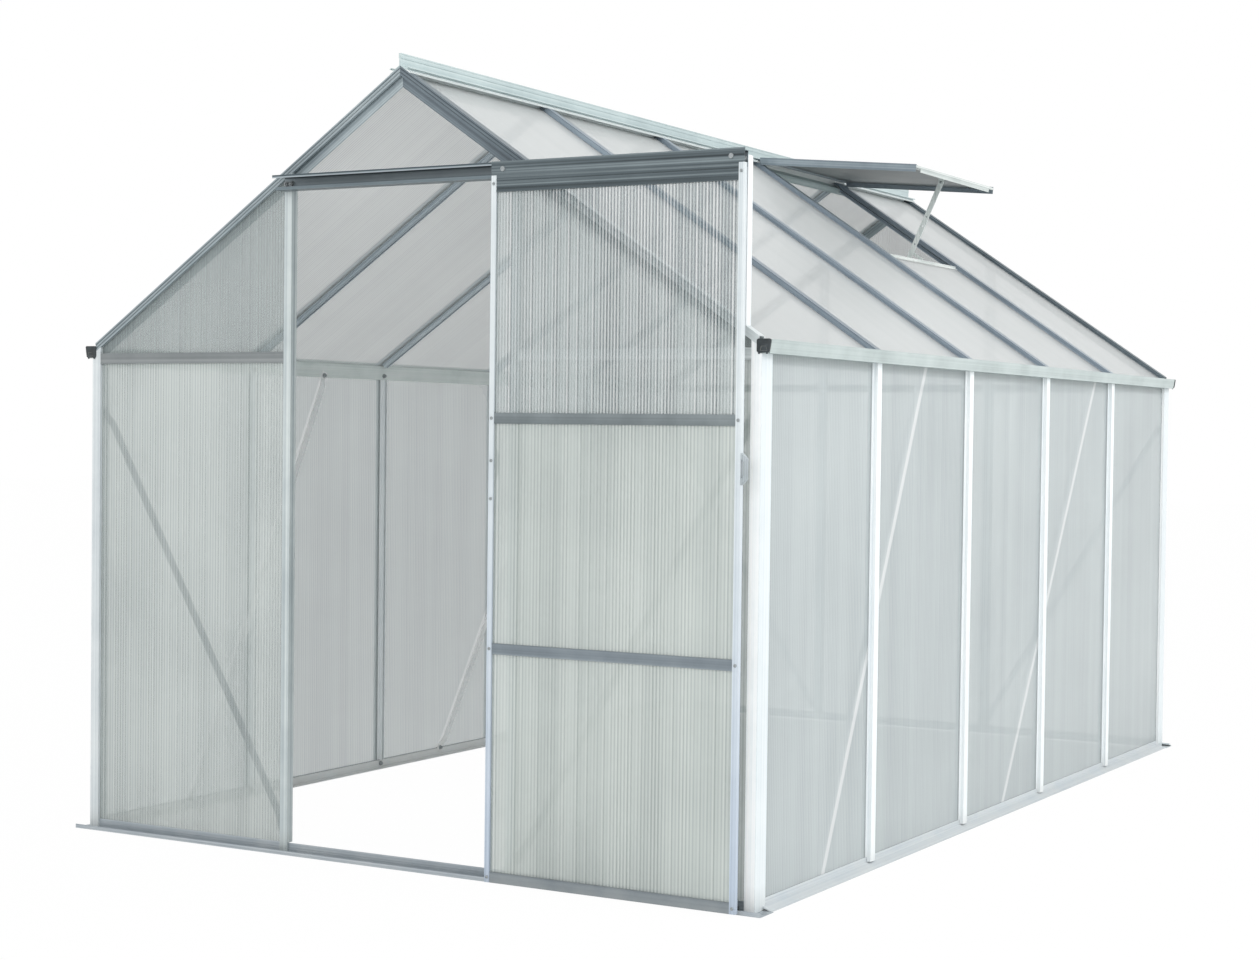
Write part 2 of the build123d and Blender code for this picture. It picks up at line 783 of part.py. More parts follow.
# Bracing straps, flat bar with both ends set towards the frame
def strap(start, end, out):
    line = Vector(*end) - Vector(*start)
    length = line.length
    along = line.normalized()
    seat = -flange - fit
    run = -channel_depth - fit
    bend = brace_flat + brace_joggle
    shape = [(0, seat), (brace_flat, seat), (bend, run), (length - bend, run)]
    shape += [(length - brace_flat, seat), (length, seat), (length, seat - brace_sheet)]
    shape += [(length - brace_flat, seat - brace_sheet), (length - bend, run - brace_sheet)]
    shape += [(bend, run - brace_sheet), (brace_flat, seat - brace_sheet), (0, seat - brace_sheet)]
    with BuildSketch(section_plane(start, (along.X, along.Y, along.Z), out)) as section:
        fill(shape)
    extrude(section.sketch, amount=brace_width / 2, both=True)


for side, hand in hands:
    with BuildPart() as braces:
        for foot, head in wall_brace_runs:
            strap((side * wall_x, depth(foot), brace_foot),
                  (side * wall_x, depth(head), brace_head), (side, 0, 0))
    save(braces, f"wall_braces_{hand}")

with BuildPart() as gable_braces:
    for end, name in ends:
        for side, hand in hands:
            y = gable_y(end, face)
            foot_x, foot_z = gable_brace_foot
            head_x, head_z = gable_brace_head
            strap((side * foot_x, y, foot_z), (side * head_x, y, head_z), (0, end, 0))
save(gable_braces, "gable_braces")

# Door track
with BuildPart() as track:
    plane = section_plane((track_left, depth(0), 0), (0, -1, 0), (0, 0, 1))
    run_along(plane, track_section, (1, 0, 0), track_right - track_left)
save(track, "door_track")

# Upright channel that carries the far end of the track and stands on the right rafter
with BuildPart() as support:
    plane = section_plane((track_right, depth(0), eaves_height), (-1, 0, 0), (0, 1, 0))
    run_along(plane, support_section, (0, 0, 1), track_top - support_drop - eaves_height)
    near = track_right - 2 * support_width
    far = track_right + wall
    under = [(near, 0), (far, 0), (far, roof_line(far, rib + fit)), (near, roof_line(near, rib + fit))]
    with BuildSketch(section_plane((0, depth(-wall), 0), (1, 0, 0), (0, 0, 1))) as section:
        fill(under)
    extrude(section.sketch, amount=support_depth + 2 * wall, dir=(0, 1, 0), mode=Mode.SUBTRACT)
save(support, "track_support")

# Sliding door: stiles, hanger rail, middle rails, bottom rail and panes
door_y = depth(-door_plane)
for side, hand, edge in ((1, "left", door_left), (-1, "right", door_right)):
    with BuildPart() as stile:
        plane = section_plane((edge, door_y, door_bottom), (side, 0, 0), (0, -1, 0))
        with BuildSketch(plane):
            edge_section(stile_width, stile_core, door_half_depth, door_half_depth)
        extrude(amount=stile_top - door_bottom, dir=(0, 0, 1))
    save(stile, f"door_stile_{hand}")

roller_z = track_bottom + rail_height + tread_radius + fit
roller_x = (door_left + roller_inset, door_right - roller_inset)
roller_y = depth(-rail_reach + wall / 2)
with BuildPart() as hanger:
    plane = section_plane((door_left, door_y, 0), (0, -1, 0), (0, 0, 1))
    run_along(plane, hanger_section, (1, 0, 0), door_right - door_left)
    for side, edge in ((1, door_left), (-1, door_right)):
        low = (edge - side * fit, door_y - 2 * door_half_depth, 0)
        high = (edge + side * (stile_width + fit), door_y + 2 * door_half_depth, stile_top + fit)
        remove_box(low, high)
    for x in roller_x:
        with Locations(Location((x, door_y, roller_z), (90, 0, 0))):
            Cylinder(pin_radius + fit, 4 * door_half_depth, mode=Mode.SUBTRACT)
save(hanger, "door_hanger")

rail_start = door_left + stile_width + fit
rail_length = door_right - door_left - 2 * stile_width - 2 * fit
for z, name in zip(middle_rails, ("lower", "upper")):
    with BuildPart() as rail:
        plane = section_plane((rail_start, door_y, z), (0, 0, 1), (0, -1, 0))
        run_along(plane, middle_rail_section, (1, 0, 0), rail_length)
    save(rail, f"door_rail_{name}")

with BuildPart() as rail_bottom:
    plane = section_plane((rail_start, door_y, door_bottom), (0, 0, 1), (0, -1, 0))
    with BuildSketch(plane):
        edge_section(rail_width, rail_core, rail_front, rail_front)
    extrude(amount=rail_length, dir=(1, 0, 0))
save(rail_bottom, "door_rail_bottom")

pane_width = door_right - door_left - 2 * stile_core - 2 * edge_gap
pane_edges = [door_bottom + rail_core]
for z in middle_rails:
    pane_edges += [z - web / 2, z + web / 2]
pane_edges.append(hanger_bottom + hanger_slot)
for i, name in enumerate(("bottom", "middle", "top")):
    low = pane_edges[2 * i] + edge_gap
    high = pane_edges[2 * i + 1] - edge_gap
    with BuildPart() as pane:
        with Locations(((door_left + door_right) / 2, door_y, (low + high) / 2)):
            Box(pane_width, sheet, high - low)
    save(pane, f"door_pane_{name}")

# Roller pins, shouldered bolts through the hanger, and the grooved rollers
back_shoulder = depth(-rail_reach + wall / 2) + roller_half + fit
with BuildPart() as pins:
    plate_front = door_y - door_half_depth
    plate_back = plate_front + hanger_plate + fit
    wheel_front = roller_y - roller_half - fit
    for x in roller_x:
        profile = [(0, plate_front - pin_head_height), (pin_head, plate_front - pin_head_height)]
        profile += [(pin_head, plate_front), (pin_radius, plate_front), (pin_radius, plate_back)]
        profile += [(pin_shoulder, plate_back), (pin_shoulder, wheel_front)]
        profile += [(pin_radius, wheel_front), (pin_radius, back_shoulder)]
        profile += [(pin_shoulder, back_shoulder), (pin_shoulder, back_shoulder + 2 * wall)]
        profile += [(0, back_shoulder + 2 * wall)]
        with BuildSketch(section_plane((x, 0, roller_z), (1, 0, 0), (0, 1, 0))):
            fill(profile)
        revolve(axis=Axis((x, 0, roller_z), (0, 1, 0)))
save(pins, "roller_pins")

for x, hand in zip(roller_x, ("left", "right")):
    with BuildPart() as roller:
        half = wall / 2 + fit
        profile = [(pin_radius + fit, -roller_half), (roller_radius, -roller_half)]
        profile += [(tread_radius, -half), (tread_radius, half)]
        profile += [(roller_radius, roller_half), (pin_radius + fit, roller_half)]
        with BuildSketch(section_plane((x, roller_y, roller_z), (1, 0, 0), (0, 1, 0))):
            fill(profile)
        revolve(axis=Axis((x, roller_y, roller_z), (0, 1, 0)))
    save(roller, f"roller_{hand}")


# Bow pulls: one on the side of the right stile, one behind the left stile
def bow(plane):
    half = pull_length / 2
    inner = pull_reach - pull_bar
    outer = [(0, -half), (pull_reach, pull_slant - half), (pull_reach, half - pull_slant), (0, half)]
    hollow = [(0, pull_slant - half), (inner, 2 * pull_bar + pull_slant - half)]
    hollow += [(inner, half - pull_slant - 2 * pull_bar), (0, half - pull_slant)]
    with BuildSketch(plane) as section:
        fill(outer)
        fill(hollow, Mode.SUBTRACT)
    extrude(section.sketch, amount=pull_width / 2, both=True)


with BuildPart() as pulls:
    bow(section_plane((door_right, door_y, pull_height), (1, 0, 0), (0, 0, 1)))
    origin = (door_left + stile_core / 2 + wall, door_y + door_half_depth, pull_height)
    bow(section_plane(origin, (0, 1, 0), (0, 0, 1)))
save(pulls, "door_pulls")

# Bottom guides, bent strips that reach over the lip of the front sill
with BuildPart() as guides:
    back = door_y + rail_front
    tongue_y = depth(face - sill_lip + guide_tongue)
    shape = [(back, door_bottom), (back, door_bottom + rail_width)]
    shape += [(back + guide_sheet, door_bottom + rail_width)]
    shape += [(back + guide_sheet, guide_arm + guide_sheet), (tongue_y, guide_arm + guide_sheet)]
    shape += [(tongue_y, 2 * guide_sheet), (tongue_y - guide_sheet, 2 * guide_sheet)]
    shape += [(tongue_y - guide_sheet, guide_arm), (back + guide_sheet, guide_arm)]
    shape += [(back + guide_sheet, door_bottom)]
    for x in (rail_start, rail_start + rail_length - guide_width):
        with BuildSketch(section_plane((x, 0, 0), (0, 1, 0), (0, 0, 1))):
            fill(shape)
        extrude(amount=guide_width, dir=(1, 0, 0))
save(guides, "door_guides")

# Roof vent: hinge rail with its bead, side rails, end rail and sheet
rib_side = bay_pitch / 2 + rib_width / 2
sash_inner = rib_side + sash_skirt_gap
sash_half = sash_inner + wall
rail_half = sash_inner - fit
sash_across = (sash_dir[0], 0, sash_dir[1])
sash_up = (-sash_dir[1], 0, sash_dir[0])


def sash_plane(y):
    return section_plane((hinge_x, y, hinge_z), sash_across, sash_up)


with BuildPart() as hinge_rail:
    with BuildSketch(sash_plane(vent_mid - rail_half)):
        Circle(bead_radius)
        fill([(0, -neck_half), (sash_slot, -neck_half), (sash_slot, neck_half), (0, neck_half)])
        fill([(sash_start, -flange), (sash_rail, -flange), (sash_rail, flange), (sash_start, flange)])
        fill([(sash_slot, -slot), (sash_rail, -slot), (sash_rail, slot), (sash_slot, slot)],
             Mode.SUBTRACT)
    extrude(amount=2 * rail_half, dir=(0, 1, 0))
save(hinge_rail, "vent_hinge_rail")

with BuildPart() as side_rails:
    for turn, name in ends:
        outer = vent_mid + turn * sash_half
        x, z = sash_xz(sash_start, 0)
        plane = section_plane((x, outer, z), (0, -turn, 0), sash_up)
        web_shape = [(0, sash_skirt), (wall, sash_skirt), (wall, sash_rise), (0, sash_rise)]
        with BuildSketch(plane):
            fill(web_shape)
        extrude(amount=sash_length - sash_start, dir=sash_across)
        x, z = sash_xz(sash_rail + fit, 0)
        with BuildSketch(section_plane((x, outer, z), (0, -turn, 0), sash_up)):
            for low in (-flange, slot):
                fill([(wall / 2, low), (sash_flange, low), (sash_flange, low + wall),
                      (wall / 2, low + wall)])
        extrude(amount=sash_end_rail - sash_rail - 2 * fit, dir=sash_across)
save(side_rails, "vent_side_rails")

with BuildPart() as end_rail:
    closed = sash_end_rail + sash_slot
    with BuildSketch(sash_plane(vent_mid - rail_half)):
        fill([(sash_end_rail, -flange), (sash_length, -flange), (sash_length, flange),
              (sash_end_rail, flange)])
        fill([(sash_end_rail, -slot), (closed, -slot), (closed, slot), (sash_end_rail, slot)],
             Mode.SUBTRACT)
    extrude(amount=2 * rail_half, dir=(0, 1, 0))
    lip_half = bay_pitch / 2 - rib_width / 2 - 2 * sash_skirt_gap
    with BuildSketch(sash_plane(vent_mid - lip_half)):
        fill([(sash_length - wall, sash_lip), (sash_length, sash_lip), (sash_length, -slot),
              (sash_length - wall, -slot)])
    extrude(amount=2 * lip_half, dir=(0, 1, 0))
save(end_rail, "vent_end_rail")

with BuildPart() as vent_sheet:
    half = sash_inner - edge_gap
    low = sash_slot + edge_gap
    high = sash_end_rail + sash_slot - edge_gap
    with BuildSketch(sash_plane(vent_mid - half)):
        fill([(low, -sheet / 2), (high, -sheet / 2), (high, sheet / 2), (low, sheet / 2)])
    extrude(amount=2 * half, dir=(0, 1, 0))
save(vent_sheet, "vent_sheet")

# Stay: clevis under the end rail, pin, flat bar with peg holes, and the peg on the vent sill
pivot_x, pivot_z = sash_xz(stay_r, stay_n)
foot_x, foot_z = roof_xz(stay_foot_s, stay_foot_w)
stay_length = hypot(foot_x - pivot_x, foot_z - pivot_z)
stay_dir = ((foot_x - pivot_x) / stay_length, 0, (foot_z - pivot_z) / stay_length)
ear_inner = stay_thickness / 2 + ear_gap
ear_outer = ear_inner + ear_sheet
with BuildPart() as clevis:
    top = -flange - fit
    low = top - ear_sheet
    with BuildSketch(sash_plane(vent_mid - clevis_half)):
        fill([(stay_r - ear_half, low), (clevis_end, low), (clevis_end, top), (stay_r - ear_half, top)])
    extrude(amount=2 * clevis_half, dir=(0, 1, 0))
    for turn in (-1, 1):
        with BuildSketch(sash_plane(vent_mid + turn * ear_inner)):
            fill([(stay_r - ear_half, ear_bottom), (stay_r + ear_half, ear_bottom),
                  (stay_r + ear_half, low), (stay_r - ear_half, low)])
            with Locations((stay_r, stay_n)):
                Circle(stay_pin_radius + ear_gap / 4, mode=Mode.SUBTRACT)
        extrude(amount=ear_sheet, dir=(0, turn, 0))
save(clevis, "stay_clevis")

with BuildPart() as stay_pin:
    with BuildSketch(section_plane((pivot_x, vent_mid - 2 * ear_outer, pivot_z), (1, 0, 0), (0, 0, 1))):
        Circle(stay_pin_radius)
    extrude(amount=4 * ear_outer, dir=(0, 1, 0))
save(stay_pin, "stay_pin")

with BuildPart() as stay:
    side_way = Vector(*stay_dir).cross(Vector(0, 1, 0))
    plane = section_plane((pivot_x, vent_mid, pivot_z), stay_dir, (side_way.X, side_way.Y, side_way.Z))
    with BuildSketch(plane):
        with Locations(((stay_length + stay_tail) / 2, 0)):
            SlotCenterToCenter(stay_length + stay_tail, stay_width)
        with Locations((0, 0)):
            Circle(stay_hole, mode=Mode.SUBTRACT)
        for i in range(stay_holes):
            with Locations((stay_length - stay_pitch * i, 0)):
                Circle(stay_hole, mode=Mode.SUBTRACT)
    extrude(amount=stay_thickness / 2, both=True)
save(stay, "stay")

with BuildPart() as peg:
    with BuildSketch(section_plane((foot_x, vent_mid + ear_inner, foot_z), (1, 0, 0), (0, 0, 1))):
        Circle(stay_pin_radius)
    extrude(amount=peg_reach, dir=(0, 1, 0))
    low = flange + fit
    near = vent_sill_s - web / 2 - fit
    plane = section_plane(roof_place(1, vent_mid + peg_reach, 0), roof_run(1), roof_out(1))
    with BuildSketch(plane):
        fill([(stay_foot_s - ear_half, low), (near, low), (near, rib - wall),
              (stay_foot_s - ear_half, rib - wall)])
    extrude(amount=peg_plate, dir=(0, 1, 0))
save(peg, "stay_peg")
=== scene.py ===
from math import cos, pi, radians, sin
import bmesh
import bpy
from mathutils import Matrix, Vector


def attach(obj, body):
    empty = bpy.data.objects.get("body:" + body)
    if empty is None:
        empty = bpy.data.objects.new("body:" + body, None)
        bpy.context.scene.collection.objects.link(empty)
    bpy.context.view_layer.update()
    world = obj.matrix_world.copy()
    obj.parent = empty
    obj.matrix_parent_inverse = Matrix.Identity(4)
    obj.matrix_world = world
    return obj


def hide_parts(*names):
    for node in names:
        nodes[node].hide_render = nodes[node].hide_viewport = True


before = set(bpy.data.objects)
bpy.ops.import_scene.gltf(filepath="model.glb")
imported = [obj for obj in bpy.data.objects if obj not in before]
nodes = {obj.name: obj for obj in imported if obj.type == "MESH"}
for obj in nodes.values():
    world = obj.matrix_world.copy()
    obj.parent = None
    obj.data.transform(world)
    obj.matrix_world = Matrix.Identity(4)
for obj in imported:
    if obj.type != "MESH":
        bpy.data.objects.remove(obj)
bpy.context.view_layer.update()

bpy.ops.object.select_all(action="DESELECT")


# Base sills. Four lengths of extruded aluminium lie on the ground and hold the bottom
# edges of the sheets. The bare metal keeps the die's fine lines along its run, and dust
# and splashed earth dull it near the ground.
def linear(code):
    parts = [int(code[i:i + 2], 16) / 255 for i in (1, 3, 5)]
    return tuple(v / 12.92 if v <= 0.04045 else ((v + 0.055) / 1.055) ** 2.4 for v in parts) + (1.0,)


def add(tree, kind, inputs=None, stops=(), **settings):
    made = tree.nodes.new(kind)
    for key, value in settings.items():
        setattr(made, key, value)
    for i, (place, code) in enumerate(stops):
        marks = made.color_ramp.elements
        mark = marks[i] if i < 2 else marks.new(place)
        mark.position = place
        mark.color = linear(code)
    for key, value in (inputs or {}).items():
        if isinstance(value, bpy.types.NodeSocket):
            tree.links.new(value, made.inputs[key])
        else:
            made.inputs[key].default_value = value
    return made


def new_finish(name):
    material = bpy.data.materials.new(name)
    material.use_nodes = True
    tree = material.node_tree
    tree.nodes.clear()
    shader = add(tree, "ShaderNodeBsdfPrincipled")
    add(tree, "ShaderNodeOutputMaterial", {"Surface": shader.outputs["BSDF"]})
    place = add(tree, "ShaderNodeTexCoord").outputs["Object"]
    return material, tree, shader, place


def dress(names, material):
    for name in names:
        nodes[name].data.materials.clear()
        nodes[name].data.materials.append(material)


# Extruded aluminium as it leaves the die: lines along the run, drawn a few millimetres
# apart so that they show, over cloudy oxide patches, half glossy.
cloud_mm = 140.0
splash_height = 0.06
roof_pitch = radians(33.93)


def extruded(name, light, body, dark, run, line_mm=3.0, rough=0.38, metal=0.5, lines=0.5, tilt=roof_pitch):
    material, tree, shader, place = new_finish(name)
    pick = add(tree, "ShaderNodeSeparateXYZ", {"Vector": place})
    if run == "slope":
        half = add(tree, "ShaderNodeMath", {0: pick.outputs["X"]}, operation="ABSOLUTE")
        folded = add(tree, "ShaderNodeCombineXYZ", {"X": half.outputs["Value"], "Y": pick.outputs["Y"],
                                                    "Z": pick.outputs["Z"]})
        turned = add(tree, "ShaderNodeVectorRotate", {"Vector": folded.outputs["Vector"], "Angle": -tilt},
                     rotation_type="Y_AXIS")
        laid = turned.outputs["Vector"]
    else:
        laid = place
    across = 1000 / line_mm
    along = across / 500
    scale = {"X": (along, across, across), "Y": (across, along, across), "Z": (across, across, along),
             "slope": (along, across, across)}[run]
    drawn = add(tree, "ShaderNodeMapping", {"Vector": laid, "Scale": scale})
    grain = add(tree, "ShaderNodeTexNoise", {"Vector": drawn.outputs["Vector"], "Scale": 1.0, "Detail": 2.0})
    cloud = add(tree, "ShaderNodeTexNoise", {"Vector": place, "Scale": 1000 / cloud_mm, "Detail": 6.0,
                                             "Roughness": 0.6})
    both = add(tree, "ShaderNodeMix", {"Factor": lines, "A": cloud.outputs["Fac"], "B": grain.outputs["Fac"]})
    tone = add(tree, "ShaderNodeValToRGB", {"Fac": both.outputs["Result"]},
               stops=((0.30, dark), (0.70, light), (0.50, body)))
    ground = add(tree, "ShaderNodeMapRange", {"Value": pick.outputs["Z"], "From Min": 0.0,
                                              "From Max": splash_height, "To Min": 0.5, "To Max": 0.0})
    dust = add(tree, "ShaderNodeMath", {0: ground.outputs["Result"], 1: cloud.outputs["Fac"]},
               operation="MULTIPLY")
    worn = add(tree, "ShaderNodeMix", {"Factor": dust.outputs["Value"], "A": tone.outputs["Color"],
                                       "B": linear("#9A968B")}, data_type="RGBA")
    tree.links.new(worn.outputs["Result"], shader.inputs["Base Color"])
    matt = add(tree, "ShaderNodeMapRange", {"Value": both.outputs["Result"], "From Min": 0.3, "From Max": 0.7,
                                            "To Min": rough - 0.08, "To Max": rough + 0.12})
    tree.links.new(matt.outputs["Result"], shader.inputs["Roughness"])
    shader.inputs["Metallic"].default_value = metal
    bump = add(tree, "ShaderNodeBump", {"Height": grain.outputs["Fac"], "Strength": 0.2, "Distance": 0.0005})
    tree.links.new(bump.outputs["Normal"], shader.inputs["Normal"])
    return material


# The four sills are one metal drawn as lit and shaded copies: the rear and left sills are painted lighter,
# painted light, and the front sill darker, painted shade.
dress(["sill_front"], extruded("painted_shade_mill_aluminium_front_sill", "#D0D8DE", "#AEB9C2", "#8C97A1", "X"))
dress(["sill_rear"],
      extruded("painted_light_mill_aluminium_rear_sill", "#F2F5F7", "#E6ECEF", "#D2DBE1", "X", 3.0, 0.4, 0.1))
dress(["sill_right"],
      extruded("mill_aluminium_right_sill", "#E2E8EB", "#D0D8DD", "#B5C0C9", "Y", 3.0, 0.4, 0.1))
dress(["sill_left"],
      extruded("painted_light_mill_aluminium_left_sill", "#F8FAFA", "#F1F4F5", "#E2E8EB", "Y", 3.0, 0.4, 0.0))

# Corner posts and wall bars. Upright aluminium extrusions, each with a raised hollow rib
# outside and a bolt channel inside, slotted for the sheets' edges. Their outer faces are
# the brightest metal on the house. The corner posts are drawn near white, painted light
# against the door's shadow on the front right post, and the right-hand posts' side flanks
# a shade darker, painted shade; the front-left post is a darker copy, painted shade.
post_flank_x = 0.9492
flank_edge = 0.0004


def reach_along(material, direction):
    tree = material.node_tree
    shader = [n for n in tree.nodes if n.type == "BSDF_PRINCIPLED"][0]
    place = add(tree, "ShaderNodeTexCoord").outputs["Object"]
    reach = add(tree, "ShaderNodeVectorMath", {0: place, 1: direction}, operation="DOT_PRODUCT")
    return tree, shader.inputs["Base Color"], reach.outputs["Value"]


def grade(material, direction, start, end, code, strength=1.0, blend="MULTIPLY"):
    tree, base, reach = reach_along(material, direction)
    part = add(tree, "ShaderNodeMapRange", {"Value": reach, "From Min": start, "From Max": end,
                                            "To Min": 0.0, "To Max": strength})
    mixed = add(tree, "ShaderNodeMix", {"Factor": part.outputs["Result"], "A": base.links[0].from_socket,
                                        "B": linear(code)}, data_type="RGBA", blend_type=blend)
    tree.links.new(mixed.outputs["Result"], base)


upright = extruded("bright_mill_aluminium_upright", "#F4F7F8", "#EDF2F4", "#DEE6EA", "Z", 3.5, 0.40, 0.0, 0.6)
dress(["wall_bars_left", "wall_bars_right", "track_support"], upright)
# Painted light: the corner posts' metal is drawn near white.
corner = extruded("mill_aluminium_corner_post", "#FDFEFE", "#F6F9FA", "#E6ECEF", "Z", 4.0, 0.38, 0.0, 0.6)
# Painted shade: the right-hand posts' side flanks are drawn a shade darker than their gable faces.
grade(corner, (1, 0, 0), post_flank_x, post_flank_x + flank_edge, "#E6EBED")
dress(["corner_post_front_right", "corner_post_rear_left", "corner_post_rear_right"], corner)
# Painted shade: the front-left post is a darker copy of the same metal.
dress(["corner_post_front_left"],
      extruded("painted_shade_mill_aluminium_corner_post", "#E2E8E9", "#CED5D8", "#B4BEC3", "Z", 4.0, 0.38, 0.0, 0.6))

# Eaves gutters. One extrusion is both wall plate and trough, open at the top, cut square
# a little past each gable.
dress(["gutter_right"],
      extruded("mill_aluminium_gutter", "#D0DAD9", "#BCC8C7", "#9FACAB", "Y", 4.0, 0.36, 0.35))
# The left gutter is a lighter copy of the same metal: painted light against the shade inside the house.
dress(["gutter_left"],
      extruded("painted_light_mill_aluminium_gutter", "#F2F6F5", "#E2EAE8", "#C6D1CF", "Y", 4.0, 0.36, 0.1))

# Gutter end caps. A black moulded stopper is pushed into each gutter end: a plate with
# rounded corners over the end of the trough, a paler window low in its face, two little
# feet, and the plug behind that grips the trough.
front_y = -1.4755
rear_y = front_y + 2.990
cap_inner_x, cap_outer_x = 0.9380, 0.9722
cap_low_z, cap_high_z = 1.1945, 1.2236
cap_face_y = front_y - 0.0030
lip_set_back = 0.0045
corner_round = 0.0040


def edit(piece, rule, kind="faces"):
    bpy.ops.object.select_all(action="DESELECT")
    piece.select_set(True)
    bpy.context.view_layer.objects.active = piece
    bpy.ops.object.mode_set(mode="EDIT")
    bpy.ops.mesh.select_mode(type={"faces": "FACE", "edges": "EDGE", "verts": "VERT"}[kind])
    bpy.ops.mesh.select_all(action="DESELECT")
    shape = bmesh.from_edit_mesh(piece.data)
    for item in getattr(shape, kind):
        if rule(item):
            item.select = True
    shape.select_flush_mode()
    bmesh.update_edit_mesh(piece.data)


def block(name, low, high):
    bpy.ops.object.select_all(action="DESELECT")
    middle = [(a + b) / 2 for a, b in zip(low, high)]
    bpy.ops.mesh.primitive_cube_add(size=1.0, location=middle, scale=[b - a for a, b in zip(low, high)])
    bpy.ops.object.transform_apply(location=True, rotation=True, scale=True)
    piece = bpy.context.active_object
    piece.name = name
    return piece


def leave_edit():
    bpy.ops.object.mode_set(mode="OBJECT")
    bpy.ops.object.select_all(action="DESELECT")


def join(pieces, name):
    bpy.ops.object.select_all(action="DESELECT")
    for piece in pieces:
        piece.select_set(True)
    bpy.context.view_layer.objects.active = pieces[0]
    bpy.ops.object.join()
    joined = bpy.context.active_object
    joined.name = name
    bpy.ops.object.select_all(action="DESELECT")
    return joined


# Moulded polypropylene: near black and half matt, with a fine grit from the mould and a
# faint bloom; the window's floor is a paler warm grey.
black, tree, shader, place = new_finish("black_moulded_polypropylene")
grit_mm = 1.2
bloom_mm = 14.3
grit = add(tree, "ShaderNodeTexNoise", {"Vector": place, "Scale": 1000 / grit_mm, "Detail": 2.0})
bloom = add(tree, "ShaderNodeTexNoise", {"Vector": place, "Scale": 1000 / bloom_mm, "Detail": 4.0})
tone = add(tree, "ShaderNodeValToRGB", {"Fac": bloom.outputs["Fac"]},
           stops=((0.3, "#1B2124"), (0.7, "#3A4246")))
tree.links.new(tone.outputs["Color"], shader.inputs["Base Color"])
matt = add(tree, "ShaderNodeMapRange", {"Value": bloom.outputs["Fac"], "To Min": 0.32, "To Max": 0.58})
tree.links.new(matt.outputs["Result"], shader.inputs["Roughness"])
bump = add(tree, "ShaderNodeBump", {"Height": grit.outputs["Fac"], "Strength": 0.25, "Distance": 0.0003})
tree.links.new(bump.outputs["Normal"], shader.inputs["Normal"])
greyed, tree, shader, place = new_finish("paler_grey_polypropylene_window")
window_mottle_mm = 9.1
bloom = add(tree, "ShaderNodeTexNoise", {"Vector": place, "Scale": 1000 / window_mottle_mm, "Detail": 4.0})
tone = add(tree, "ShaderNodeValToRGB", {"Fac": bloom.outputs["Fac"]},
           stops=((0.3, "#5B5D5A"), (0.7, "#7C7D78")))
tree.links.new(tone.outputs["Color"], shader.inputs["Base Color"])
matt = add(tree, "ShaderNodeMapRange", {"Value": bloom.outputs["Fac"], "To Min": 0.4, "To Max": 0.65})
tree.links.new(matt.outputs["Result"], shader.inputs["Roughness"])

plate = block("plate", (cap_inner_x, cap_face_y, cap_low_z), (cap_outer_x, front_y - 0.0003, cap_high_z))
edit(plate, lambda v: v.co.x > 0.96 and v.co.z < 1.20, "verts")
bpy.ops.transform.translate(value=(-lip_set_back, 0, 0))
leave_edit()
edit(plate, lambda e: abs(e.verts[0].co.y - e.verts[1].co.y) > 0.002, "edges")
bpy.ops.mesh.bevel(offset=corner_round, segments=4)
leave_edit()
edit(plate, lambda f: f.normal.y < -0.9)
bpy.ops.mesh.inset(thickness=0.0009)
bpy.ops.transform.translate(value=(0, -0.0008, 0))
leave_edit()
plug = block("plug", (0.9430, front_y - 0.0005, 1.1952), (0.9640, front_y + 0.0120, 1.2160))
edit(plug, lambda f: f.normal.y > 0.9)
bpy.ops.transform.resize(value=(0.9, 1.0, 0.9))
leave_edit()
edit(plug, lambda e: abs(e.verts[0].co.y - e.verts[1].co.y) > 0.006, "edges")
bpy.ops.mesh.bevel(offset=0.0020, segments=2)
leave_edit()
window = block("window", (0.9465, front_y - 0.0043, 1.1975), (0.9635, cap_face_y, 1.2080))
edit(window, lambda v: v.co.z > 1.20, "verts")
bpy.ops.transform.resize(value=(0.66, 1.0, 1.0))
leave_edit()
edit(window, lambda f: f.normal.y < -0.9)
bpy.ops.mesh.inset(thickness=0.0008)
bpy.ops.transform.translate(value=(0, 0.0006, 0))
leave_edit()
window.data.materials.append(greyed)
feet = []
for x in (0.9430, 0.9620):
    foot = block("foot", (x - 0.0020, cap_face_y, 1.1912), (x + 0.0020, front_y - 0.0006, 1.1950))
    edit(foot, lambda e: True, "edges")
    bpy.ops.mesh.bevel(offset=0.0007, segments=2)
    leave_edit()
    feet.append(foot)
for piece in [plate, plug] + feet:
    piece.data.materials.append(black)
cap = join([plate, plug] + feet + [window], "gutter_end_cap")
caps = [cap]
for side, end in ((-1, -1), (1, 1), (-1, 1)):
    copy = cap.copy()
    copy.data = cap.data.copy()
    bpy.context.scene.collection.objects.link(copy)
    flip = Matrix.Diagonal((side, -end, 1.0, 1.0))
    if end > 0:
        flip = Matrix.Translation((0, front_y + rear_y, 0)) @ flip
    copy.data.transform(flip)
    if side * -end < 0:
        copy.data.flip_normals()
    caps.append(copy)
cap = join(caps, "gutter_end_caps")
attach(cap, "house")
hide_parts("gutter_caps")

# Gable rafters and their apex gussets. Grooved extrusions round the top of each gable,
# mitred at the apex and bolted to a plate behind. They face away from the light. Their metal
# is drawn as lit and shaded copies: the left rafters lighter, painted light, the right rafters
# and the gussets darker, painted shade, with painted shade in the grooves of all but the rear
# right rafter, between pale ridges, and painted light on the front right rafter below the track.
rib = 0.0140
groove_half = 0.0014
apex_z = 1.84713
track_shade_z = 1.605
track_light_z = 1.590


